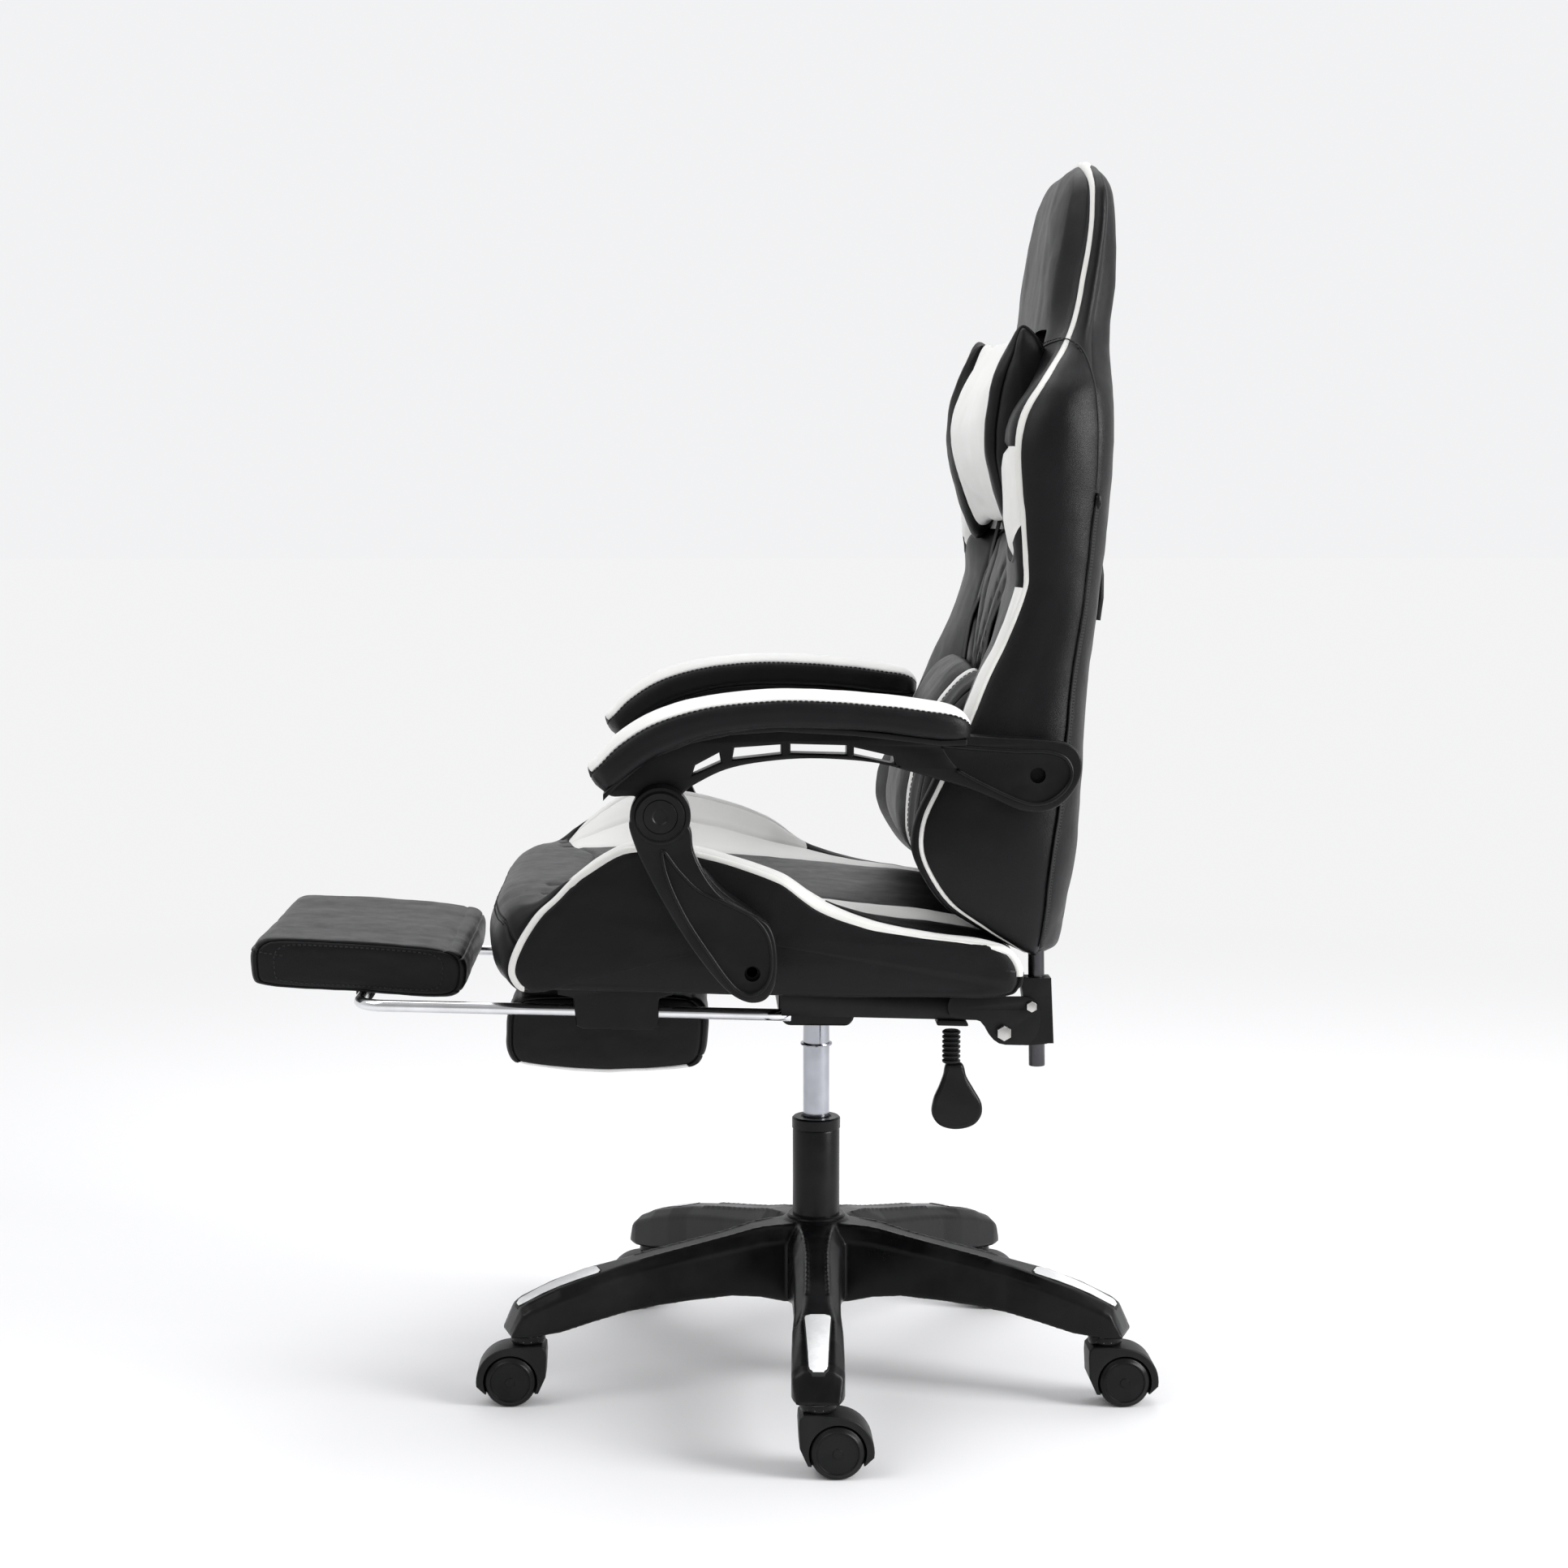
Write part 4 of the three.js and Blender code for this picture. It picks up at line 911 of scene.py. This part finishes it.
def build_lumbar_pillow():
    middle = (122, 655)
    outer = side_line(138, LUMBAR_OUTER)
    between = [((a + c) / 2, (b + d) / 2) for (a, b), (c, d) in zip(LUMBAR_MIDDLE, LUMBAR_OUTER)]
    ends = [shrunk(outer, x, share, middle)
            for x, share in ((154, 0.93), (163, 0.74), (167, 0.4), (168, 0.12))]
    net = mirrored_net([side_line(0, LUMBAR_MIDDLE), side_line(62, LUMBAR_MIDDLE), side_line(100, between),
                        side_line(115, between), outer, *ends])
    build_pillow("lumbar_pillow", "black_leather", "lumbar_pillow", net, (2, 3, 5), (2, 3), 1.6, 0.0014,
                 ((2, -2), (3, 2)))


# ------------------------------------------------------------------ footrest pads
FOOT_PAD = [
    (-566, 455), (-470, 446.5), (-380, 440.5), (-365, 445), (-360, 460), (-362, 478), (-377, 486),
    (-440, 492.5), (-515, 497.5), (-556, 498), (-569, 490), (-571, 472)]
CALF_PAD = [
    (-308, 370), (-220, 362), (-134, 366), (-122, 376), (-118, 398), (-119, 422), (-132, 435),
    (-220, 437.5), (-302, 436), (-315, 424), (-318, 400), (-317, 382)]


def box_pad(name, outline, half, seam_columns, body, node, materials, rule=None):
    """A boxed cushion: a side outline carried across, with seams near both ends and along its corners.
    Returns its rows of points, for the stitches."""
    middle = tuple(sum(p[i] for p in outline) / len(outline) for i in (0, 1))
    line = side_line(half - 9, outline)
    ends = [shrunk(line, half + x, share, middle)
            for x, share in ((-3.6, 0.99), (0, 0.955), (2, 0.7), (2.4, 0.35), (2.5, 0.1))]
    net = mirrored_net([side_line(0, outline), side_line(half * 0.5, outline), line, *ends])

    def keep(r, c):
        inside = abs(r - (len(net) - 1) / 2) < 4.05
        return (1 if inside else 0.25, 1, 0.7 if inside else 0)

    rows = padded_rows(net, both_ways(net, (4,)), seam_columns, 1.6, 1.6, 0.0012, keep)
    pad = skin(name, rows, materials, span_pick(rule) if rule else None)
    on_body(pad, body, "black_leather", node)
    return rows


def round_end(rows, r):
    """A line of stitches all round a pad along one of its rows."""
    return over_rim(rows, np.vstack([rows[r], rows[r][:1]]))


def build_footrest_pads():
    """The pad on the footrest frame, all black, and the low pad under the seat, white underneath."""
    rows = box_pad("footrest_pad_cover", FOOT_PAD, 154, {3, 5, 6, 10}, "foot_pad", "footrest_pad", [BLACK])
    low, high = 2 * len(SEAM), rows.shape[0] - 2 * len(SEAM)
    threads = [over_rim(rows, rows[low:high, 10 * len(SEAM) + 3])]
    threads += [round_end(rows, low + 4), round_end(rows, high - 5)]
    on_body(stitches("footrest_pad_stitching", threads, THREAD), "foot_pad", "black_leather")
    rows = box_pad("calf_pad_cover", CALF_PAD, 149, {0, 3, 6, 9}, "calf_rest", "calf_pad", [BLACK, WHITE],
                   lambda r, c: 1 if c < 2 and 3 <= r < 11 else 0)
    thread = stitches("calf_pad_stitching", [round_end(rows, 2 * len(SEAM) + 4)], THREAD)
    on_body(thread, "calf_rest", "black_leather")


# ------------------------------------------------------------------ armrests
PAD_UNDER = smooth_table(
    (-215, 661), (-202, 672), (-172, 695), (-134, 711), (-96, 720), (-51, 724), (1, 723), (54, 719),
    (100, 713), (127, 712))
PAD_TOP = smooth_table(
    (-233, 681), (-217, 698), (-202, 714), (-172, 733), (-134, 746), (-96, 752), (-44, 755), (17, 753),
    (54, 749), (92, 744), (118, 738), (128, 727))
PAD_STATIONS = [(-228, -212, 0.55), (-220, -208, 0.8), (-202, -196, 0.93), (-172, -170, 1), (-134, -133, 1),
                (-96, -96, 1), (-51, -51, 1), (1, 1, 1), (54, 54, 1), (92, 92, 0.98), (112, 112, 0.93),
                (122, 122, 0.82), (127, 126, 0.6)]


def arm_pad_net():
    middle, half = 305.5, 42
    net = []
    for top_y, low_y, wide in PAD_STATIONS:
        high, low = PAD_TOP(top_y), PAD_UNDER(low_y)
        deep = high - low
        w = half * wide
        section = [(0, 0), (0.8, 0.0), (0.97, 0.12), (1, 0.35), (0.99, 0.6), (0.9, 0.8), (0.62, 0.97), (0, 1)]
        right = [(middle + w * x, low_y + (top_y - low_y) * h, low + deep * h) for x, h in section]
        left = [(middle - w * x, low_y + (top_y - low_y) * h, low + deep * h) for x, h in section[1:-1]]
        net.append(right + left[::-1])

    def end(line, tip):
        return [tuple(0.35 * a + 0.65 * b for a, b in zip(point, tip)) for point in line]

    return [end(net[0], (middle, -226, 672)), *net, end(net[-1], (middle, 129, 721))]


def build_arm_pads():
    """Arm pads: black sides with a welt, a white top panel and a black underside, rounded at both ends."""
    rows = padded_rows(arm_pad_net(), set(), {1, 5, 9, 13}, 1.5, 1.3, 0.0007)

    def rule(r, c):
        return 1 if 5 <= c < 9 and r > 0 else 0

    pad = skin("arm_pad_cover_left", rows, [BLACK, WHITE], span_pick(rule))
    normals = outward_normals(rows)
    margin = len(SEAM) // 2
    threads = [(rows[margin:-margin, c], normals[margin:-margin, c])
               for c in (5 * len(SEAM) - 3, 9 * len(SEAM) + 3)]
    thread = stitches("arm_pad_stitching_left", threads, THREAD)
    for piece in both_sides(pad, "arm_{side}", "black_leather", "arm_pad_{side}"):
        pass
    both_sides(thread, "arm_{side}", "black_leather")


ARM_TOP = [
    (-215, 662), (-202, 675), (-172, 700), (-134, 715), (-96, 723), (-51, 726), (17, 722), (54, 718),
    (100, 712), (124, 712.5)]
ARM_LOBE = [
    (150, 711), (196, 708.5), (222, 705), (233, 698), (237.5, 686), (235, 669), (225, 653), (212, 643),
    (196, 639), (176, 642), (154, 652), (127, 663), (100, 671)]
ARM_ARC = [(72, 679), (46, 686), (11, 690), (-31, 691), (-73, 687), (-100, 681), (-122, 671), (-140, 659)]
ARM_FRONT = [(-150, 640), (-174, 640), (-185, 655), (-195, 656), (-208, 656)]
ARM_WINDOWS = [[(-132, 676), (-105, 688), (-106.5, 697), (-129, 685)],
               [(-94, 690.5), (-48, 695.5), (-48, 704.5), (-92, 701.5)],
               [(-39, 696.5), (14, 695), (14, 703.5), (-39, 705)],
               [(21, 694), (60, 685.5), (58, 693), (21, 701.5)]]
LOBE_LIP = [
    (104, 703), (140, 700), (175, 697.5), (206, 696.5), (221, 691), (227.5, 680), (226, 668), (217, 656),
    (204, 648.5), (188, 647.5), (168, 654.5), (140, 668), (118, 680)]


ARM_HINGE, KNUCKLE, SUPPORT_HINGE = (196, 674), (-162, 640), (-76, 490)      # the joints, as (y, z)


def circle(y, z, radius, count=40):
    return [(y + radius * math.cos(a), z + radius * math.sin(a))
            for a in (2 * math.pi * (k + 0.5) / count for k in range(count))]


def build_arm_frames():
    """The arm's web: a thick rim with a dished lobe, four windows, a front lug and the tray under the pad."""
    outline = ARM_TOP + ARM_LOBE + ARM_ARC + ARM_FRONT
    web = plate("arm_frame_shell_left", smooth_outline(outline, 4), 272, 300, 2.4, NYLON,
                [smooth_outline(w, 1) for w in ARM_WINDOWS] + [circle(*ARM_HINGE, 7.5, 32)])
    dish = plate("dish", smooth_outline(LOBE_LIP, 5), 295.6, 309, 2.2, NYLON)
    lean = Matrix.Identity(4)
    lean[0][1] = -0.034
    lean[0][3] = 0.034 * (AXIS_Y + 0.228)
    dish.data.transform(lean)
    subtract(web, dish)
    set_sharp(web, 40)
    lip_line = [at(300.1, y, z) for y, z in spline(LOBE_LIP, EVEN, False)]
    lip = tube("lobe_lip", lip_line, 0.0022, NYLON)
    well = [(0, 0), (7.6, 0), (7.6, 1.0), (5.2, 1.6), (5.2, -1.5), (2.6, -1.5), (2.4, -2.5), (0, -2.5)]
    washer = turned("bolt_well", well, GROOVE, 32, facing_x(284, *ARM_HINGE))
    lug = plate("lug", circle(*KNUCKLE, 24), 272, 300, 2, NYLON)
    under = ARM_TOP + [(y, z - 6) for y, z in ARM_TOP[::-1]]
    tray = plate("tray", under, 270, 341, 1.5, NYLON)
    boss = plate("boss", circle(*ARM_HINGE, 16), 268, 276, 1, NYLON)
    web = joined("arm_frame_shell_left", [web, lip, washer, lug, tray, boss])
    both_sides(web, "arm_{side}", "nylon", "arm_frame_{side}")


SUPPORT_OUTER = [
    (-190, 637), (-187, 616), (-172, 582), (-150, 542), (-124, 503), (-99, 474), (-80, 463.5),
    (-64, 466), (-54.5, 482), (-53, 512), (-60, 536), (-79, 549), (-103, 563), (-119, 582), (-131, 607),
    (-135, 630), (-160, 645)]
SUPPORT_DISH = [
    (-160, 608), (-146, 590), (-126, 570), (-97, 556), (-74, 543), (-62, 527), (-58, 506), (-60, 487),
    (-68, 474), (-80, 470.5), (-94, 479), (-116, 509), (-139, 545), (-156, 583)]
SUPPORT_INNER = [
    (-160, 574), (-148, 548), (-127, 518), (-104, 490), (-90, 471), (-75, 465), (-64, 472), (-58, 490),
    (-56, 515), (-63, 533), (-79, 547), (-104, 566), (-126, 588), (-146, 590)]


def build_supports():
    """The arm supports: a curved blade with a dished face, a round joint cap and a bolt well."""
    blade = plate("arm_support_shell_left", smooth_outline(SUPPORT_OUTER, 5), 303, 331, 2.6, NYLON)
    subtract(blade, plate("dish", smooth_outline(SUPPORT_DISH, 5), 325, 336, 2.0, NYLON))
    subtract(blade, plate("well", circle(*SUPPORT_HINGE, 7.5, 32), 313, 340, 0.2, NYLON))
    set_sharp(blade, 35)
    ridge_line = [at(331.2, y, z) for y, z in smooth_outline(SUPPORT_DISH, 6)]
    ridge = tube("ridge", ridge_line, 0.0019, NYLON, closed=True)
    drum = [(0, 0), (28.5, 0), (28.5, 26.5), (27, 28.4), (24.2, 28.7), (23.6, 27.2), (0, 27.2)]
    disc = turned("disc", drum, NYLON, 72, facing_x(303, *KNUCKLE))
    inner = plate("inner", smooth_outline(SUPPORT_INNER, 4), 268, 304, 1.5, NYLON)
    floor = turned("well_floor", [(0, 0), (7.6, 0), (7.6, 0.8), (5, 1.4), (5, -1), (0, -1)], GROOVE, 32,
                   facing_x(313, *SUPPORT_HINGE))
    whole = joined("arm_support_shell_left", [blade, ridge, disc, inner, floor])
    both_sides(whole, "support_{side}", "nylon", "arm_support_{side}")
    dome = [(0, 0.4), (22.6, 0.4), (23, 1.4), (22, 3.0), (16.4, 2.7), (16, 2.1), (15.4, 2.7), (7.6, 2.6),
            (6.4, 1.6), (0, 1.4)]
    cap = turned("arm_joint_cap_left", dome, SMOOTH, 72, facing_x(331, *KNUCKLE))
    both_sides(cap, "support_{side}", "nylon", "arm_pivot_cap_{side}")


# ------------------------------------------------------------------ base
TURN = -0.041          # how far the first leg is turned from +X, in radians
CASTER_REACH = 0.315   # from the middle of the base to each caster's stem
LEG_TOP = smooth_table(
    (18, 172), (30, 171), (66, 168), (100, 161), (139, 154), (190, 145), (243, 134), (277, 125),
    (312, 112), (326, 104), (333, 88), (337, 78))
LEG_LOW = smooth_table(
    (18, 86), (30, 87), (76, 97), (102, 99.5), (147, 98), (191, 95), (226, 90), (278, 79), (302, 74),
    (337, 74.5))
LEG_HALF = smooth_table(
    (18, 30), (30, 30), (66, 27), (139, 24), (225, 23.5), (255, 25.5), (318, 26), (328, 24.5), (337, 21))
LEG_RIDGE = smooth_table((18, 20), (66, 13), (113, 10), (208, 11), (250, 16), (318, 15), (337, 11))
HUB = [(26, 84), (34, 84), (38, 92), (39, 104), (38, 158), (36, 168), (33, 173), (26, 174)]


def leg_skin():
    """One leg along +X, its section a flat ridge with steep shoulders and upright sides."""
    rings = []
    for r in (18, 45, 70, 100, 140, 180, 215, 250, 285, 318, 326, 333, 337):
        top, low, wide, ridge = LEG_TOP(r), LEG_LOW(r), LEG_HALF(r), LEG_RIDGE(r)
        shoulder = top - (top - low) * 0.17
        side = [(wide - 2, low), (wide, low + 3), (wide, shoulder - 4), (wide - 1.6, shoulder - 0.6),
                (ridge + 1.5, top - 0.6), (ridge - 1, top)]
        ring = side + [(-s, z) for s, z in side[::-1]]
        rings.append([(r * MM, s * MM, z * MM) for s, z in ring])
    return skin("leg", np.array(rings), [NYLON])


def build_base():
    """The star: a hub and five legs fused into one moulding, with a silver inlay along each leg."""
    hub = turned("base_shell", HUB, NYLON, 64)
    parts, inlays, outlines = [hub], [], []
    for i in range(5):
        place = ON_AXIS @ Matrix.Rotation(TURN + 2 * math.pi * i / 5, 4, "Z")
        leg = leg_skin()
        leg.data.transform(place)
        parts.append(leg)
        inlays.append(inlay_strip("inlay", 240, 326, 13.2, 8.8, 0.9, INLAY, place))
        outlines.append(inlay_strip("inlay_edge", 238.4, 327.6, 14.5, 10.1, 0.45, GROOVE, place))
        for side in (1, -1):
            line = [place @ Vector((r * MM, side * (LEG_RIDGE(r) + 0.5) * MM, (LEG_TOP(r) - 0.4) * MM))
                    for r in range(44, 206, 9)]
            parts.append(tube("leg_edge", line, 0.0016, NYLON))
    hub.data.transform(ON_AXIS)
    star = joined("base_shell", parts)
    soften(star, 0.0018)
    on_body(star, "base", "nylon", "base_star")
    on_body(joined("base_inlays", inlays), "base", "nylon")
    on_body(joined("base_inlay_edges", outlines), "base", "nylon")
    rib = turned("hub_ring", [(25.4, 173), (31, 173), (31, 175.4), (29.5, 176.6), (25.4, 176.6)], NYLON, 64,
                 ON_AXIS)
    on_body(rib, "base", "nylon")


def soften(obj, size):
    """Fuses overlapping parts into one skin and rounds its edges slightly."""
    fuse = obj.modifiers.new("fuse", "REMESH")
    fuse.mode = "VOXEL"
    fuse.voxel_size = size
    fuse.use_smooth_shade = True
    ease = obj.modifiers.new("ease", "SMOOTH")
    ease.factor = 0.5
    ease.iterations = 1
    material = obj.data.materials[0]
    apply_modifiers(obj)
    obj.data.materials.clear()
    obj.data.materials.append(material)


def inlay_strip(name, r0, r1, wide, narrow, lift, material, place):
    """A tapered strip with rounded ends lying on a leg's ridge."""
    rings = []
    for t in (0, 0.012, 0.03, 0.06, 0.3, 0.5, 0.7, 0.94, 0.97, 0.988, 1):
        r = r0 + (r1 - r0) * t
        end = min(t, 1 - t) * (r1 - r0)
        round_in = math.sqrt(max(0.35, 1 - (1 - min(1, end / 4)) ** 2))
        half = (wide + (narrow - wide) * t) * round_in
        z = LEG_TOP(r)
        side = [(half, -1.5), (half, lift * 0.4), (half - 0.8, lift)]
        section = side + [(-s, up) for s, up in side[::-1]]
        rings.append([place @ Vector((r * MM, s * MM, (z + up) * MM)) for s, up in section])
    strip = skin(name, np.array(rings), [material])
    set_sharp(strip, 45)
    return strip


LIFT_TUBE = [(16, 74), (22, 68), (25, 80), (25, 266.5), (24.4, 268.2), (15, 268.2), (15, 74)]
LIFT_COLLAR = [
    (14.7, 268.4), (25, 268.4), (25.7, 269.2), (25.7, 279.5), (24, 281.2), (16.5, 281.2), (15.6, 279.6),
    (14.7, 279.4)]
LIFT_ROD = [
    (0, 160), (13, 160), (14, 162), (14, 358), (16.6, 358.3), (17, 359.5), (16.6, 360.8), (14, 361),
    (13.4, 424), (0, 424)]


def build_lift():
    """The gas lift: the outer tube with its collar, and the piston above it."""
    shell = turned("gas_lift_shell", LIFT_TUBE, SMOOTH, 72, ON_AXIS)
    on_body(shell, "base", "nylon", "gas_lift_tube")
    collar = turned("gas_lift_cap", LIFT_COLLAR, NYLON, 72, ON_AXIS)
    on_body(collar, "base", "nylon", "gas_lift_collar")
    rod = turned("gas_piston", LIFT_ROD, PISTON, 72, ON_AXIS)
    on_body(rod, "column", "chrome", "gas_lift_piston")


# ------------------------------------------------------------------ casters
HOOD_OUTLINE = ([(-9, 10), (-18.5, 31), (-19.5, 52), (-19, 60), (-15, 64), (0, 64.3), (18, 62.5)]
                + [(18 + 35.5 * math.cos(math.radians(d)), 26.5 + 35.5 * math.sin(math.radians(d)))
                   for d in range(80, -14, -8)] + [(44, 13), (26, 7), (8, 8)])
WHEEL = [
    (4.6, 3.6), (24.5, 3.6), (26.5, 5.2), (26.8, 9), (26.8, 16.5), (26.2, 18.2), (24.6, 19.6),
    (22.6, 20.4), (21.6, 21.4), (20.4, 21.6), (19.8, 20.6), (5, 20.9), (4.6, 21.6), (0, 21.6), (0, 17),
    (4.6, 17)]
AXLE = (18, 26.5)      # the wheels' axis behind the stem's, as (y, z)


def caster_hood():
    """A hood with a well and an open underside for each wheel, the stem's collar and the wheels' axle."""
    hood = plate("hood", HOOD_OUTLINE, -20, 20, 2.0, HOOD)
    for x0, x1 in ((3, 26), (-26, -3)):
        subtract(hood, plate("well", circle(*AXLE, 28, 56), x0, x1, 0.3, HOOD))
        subtract(hood, plate("below", [(-30, -10), (80, -10), (80, 14), (-30, 14)], x0, x1, 0.3, HOOD))
    ring = [(0, 63), (15.5, 63), (17, 64.5), (18, 68), (17.4, 72.4), (12, 73), (0, 73)]
    collar = turned("collar", ring, SMOOTH, 48, ON_AXIS)
    axle = turned("axle", [(0, -16), (4, -16), (4, 16), (0, 16)], SMOOTH, 24, facing_x(0, *AXLE))
    hood = joined("hood", [hood, collar, axle])
    set_sharp(hood, 38)
    return hood


def build_casters():
    """Twin-wheel casters: a hood over two discs with raised rims."""
    hood = caster_hood()
    wheel = turned("wheel", WHEEL, SMOOTH, 72, facing_x(0, *AXLE))
    other = mirrored(wheel, "wheel_other")
    for i, way in enumerate((1, 1, 1, -1, -1)):
        angle = TURN + 2 * math.pi * i / 5
        stem = (CASTER_REACH * math.cos(angle), CASTER_REACH * math.sin(angle) + AXIS_Y, 0)
        place = (Matrix.Translation(stem) @ Matrix.Rotation(0 if way > 0 else math.pi, 4, "Z")
                 @ ON_AXIS.inverted())
        caster = f"caster_{i + 1}"
        for source, name, body, slot in ((hood, "hood", caster, "nylon"),
                                         (wheel, "wheel_a", caster + "_wheel_a", "tread"),
                                         (other, "wheel_b", caster + "_wheel_b", "tread")):
            copy = copied(source, f"{caster}_{name}_shell", place)
            on_body(copy, body, slot, f"{caster}_{name}")
    for source in (hood, wheel, other):
        bpy.data.objects.remove(source)


# ------------------------------------------------------------------ footrest frame, lever and bolts
def build_rails():
    """The footrest frame: one rod bent into a U, rising slightly towards its front."""
    points = [(178, -34), (178, -90), (178, -200), (178, -330), (178, -438)]
    points += [(152 + 26 * math.cos(math.radians(d)), -438 - 26 * math.sin(math.radians(d)))
               for d in range(9, 91, 9)]
    side = [at(x, y, 436 - 0.03 * (y + 464)) for x, y in points]
    side = [p + (q - p) * t for p, q in zip(side, side[1:]) for t in (0, 0.5)] + [side[-1]]
    other = [Vector((-p.x, p.y, p.z)) for p in side[::-1]]
    rails = tube("footrest_rails", side + other, 0.006, CHROME, sides=28, up=(0, 0, 1))
    on_body(rails, "footrest", "chrome", "footrest_frame")


GRIP = [
    (118, 380.5), (126, 381), (134, 380.5), (138, 368), (146, 354), (153, 341), (153, 329), (145, 319),
    (128, 315), (112, 319), (104, 330), (105.5, 345), (111, 358), (115, 369)]


def build_lever():
    """The release lever: a ribbed sleeve and a paddle grip with a raised rim."""
    profile = [(0, 381)]
    for k in range(7):
        z = 381 + k * 4.8
        profile += [(7.2, z + 0.1), (9, z + 1.4), (9.1, z + 3.2), (7.2, z + 4.6)]
    profile += [(0, 414.6)]
    sleeve = turned("lever_boot", profile, NYLON, 40, Matrix.Translation(at(215, 123, 0)))
    on_body(sleeve, "lever", "nylon", "lever_sleeve")
    outline = smooth_outline(GRIP)
    grip = plate("lever_handle", outline, 208.6, 221.4, 4.2, SMOOTH, steps=5)
    rim_line = [at(220.4, 128 + (y - 128) * 0.8, 344 + (z - 344) * 0.84) for y, z in outline[::2]]
    rim = tube("lever_rim", rim_line, 0.0011, SMOOTH, closed=True)
    on_body(joined("lever_handle", [grip, rim]), "lever", "nylon", "lever_grip")


def keep_frame(names, material, bevel=0.6):
    """Shows CAD pieces as they are, with their edges softened by a bevel in millimetres."""
    for name in names:
        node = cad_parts[name]
        node.data.materials.clear()
        node.data.materials.append(material)
        weld = node.modifiers.new("weld", "WELD")
        weld.merge_threshold = 1e-5
        edge = node.modifiers.new("edge", "BEVEL")
        edge.width = bevel * MM
        edge.segments = 3
        edge.limit_method = "ANGLE"
        edge.angle_limit = math.radians(38)
        edge.harden_normals = True
        node.data.polygons.foreach_set("use_smooth", [True] * len(node.data.polygons))
        node.data.set_sharp_from_angle(angle=math.radians(38))


def build_small_parts():
    def pairs(*names):
        return [f"{name}_{side}" for name in names for _, side in SIDES]

    keep_frame(["tilt_mechanism", "seat_frame", "footrest_bracket", "calf_pad_bracket",
                *pairs("recline_plate", "recline_socket")], STEEL)
    keep_frame(["base_retaining_clip", *pairs("recline_pivot_bolt", "recline_lock_bolt"),
                *[f"caster_{i}_stem" for i in range(1, 6)]], ZINC, 0.5)
    keep_frame(pairs("back_tube"), TUBE, 0.5)
    keep_frame(["lever_housing", *pairs("footrest_guide")], NYLON, 1.0)


# ------------------------------------------------------------------ the studio
def area_light(name, place, target, size, energy):
    light = bpy.data.lights.new(name, "AREA")
    light.shape = "RECTANGLE"
    light.size, light.size_y = size
    light.energy = energy
    obj = new_object(name, light)
    obj.location = place
    obj.rotation_euler = (Vector(target) - Vector(place)).to_track_quat("-Z", "Y").to_euler()


def build_studio():
    """A pale room, dimmer on the camera's side than behind the chair, with three area lights."""
    world = bpy.data.worlds.new("studio")
    bpy.context.scene.world = world
    world.use_nodes = True
    tree = world.node_tree
    background = tree.nodes["Background"]
    place = tree.nodes.new("ShaderNodeTexCoord")
    axes = tree.nodes.new("ShaderNodeSeparateXYZ")
    tree.links.new(place.outputs["Generated"], axes.inputs["Vector"])
    light = ramp(tree, axes.outputs["X"], 0.9, 0.45, -0.3, 0.9)
    even = tree.nodes.new("ShaderNodeMix")           # the backdrop itself is one pale tone all round
    even.inputs[3].default_value = 0.9
    tree.links.new(tree.nodes.new("ShaderNodeLightPath").outputs["Is Camera Ray"], even.inputs[0])
    tree.links.new(light, even.inputs[2])
    tree.links.new(even.outputs[0], background.inputs["Strength"])
    background.inputs["Color"].default_value = (0.985, 0.988, 1.0, 1)
    corners = [(-40, -40, 0), (40, -40, 0), (40, 40, 0), (-40, 40, 0)]
    floor = mesh_object("floor", corners, [(0, 1, 2, 3)], [floor_paint()])
    area_light("key", (1.2, -2.2, 3.4), (0, 0.1, 0.7), (2.4, 2.4), 48)
    area_light("rim", (1.5, 3.0, 1.9), (0.1, 0.3, 0.9), (1.4, 2.4), 135)
    area_light("top", (-1.2, 0.2, 3.6), (0, 0.1, 0.5), (2.6, 2.6), 40)


def floor_paint():
    """White paint that fades into the background's own glow away from the chair."""
    material, tree, shader = new_material("floor_paint", (0.83, 0.83, 0.835), 0.75, specular=0.15)
    drift = texture(tree, "Noise", 1.2, Detail=3)
    tone = mix_color(tree, drift.outputs["Fac"], (0.80, 0.80, 0.81), (0.82, 0.82, 0.83))
    tree.links.new(tone, shader.inputs["Base Color"])
    place = tree.nodes.new("ShaderNodeTexCoord")
    away = tree.nodes.new("ShaderNodeVectorMath")
    away.operation = "LENGTH"
    tree.links.new(place.outputs["Object"], away.inputs[0])
    glow = tree.nodes.new("ShaderNodeEmission")
    glow.inputs["Color"].default_value = (0.9, 0.9, 0.905, 1)
    blend = tree.nodes.new("ShaderNodeMixShader")
    tree.links.new(ramp(tree, away.outputs["Value"], 0, 1, 1.0, 3.4), blend.inputs["Fac"])
    tree.links.new(shader.outputs["BSDF"], blend.inputs[1])
    tree.links.new(glow.outputs["Emission"], blend.inputs[2])
    tree.links.new(blend.outputs["Shader"], tree.nodes["Material Output"].inputs["Surface"])
    return material


def build_camera():
    """A camera on the chair's left, turned and dipped slightly from straight across."""
    camera = new_object("camera", bpy.data.cameras.new("camera"))
    camera.location = (2.934, -0.033, 0.937)
    turn, dip = 0.0367, 0.102
    aim = Vector((-math.cos(turn) * math.cos(dip), math.sin(turn) * math.cos(dip), -math.sin(dip)))
    camera.rotation_euler = aim.to_track_quat("-Z", "Y").to_euler()
    camera.data.lens = 64.4
    camera.data.sensor_width = 36
    camera.data.clip_end = 60
    bpy.context.scene.camera = camera


for build in (build_seat, build_back, build_head_pillow, build_lumbar_pillow,
              build_footrest_pads, build_arm_pads, build_arm_frames, build_supports,
              build_base, build_lift, build_casters, build_rails, build_lever, build_small_parts,
              build_studio, build_camera):
    build()
bpy.context.scene.view_settings.view_transform = "Standard"
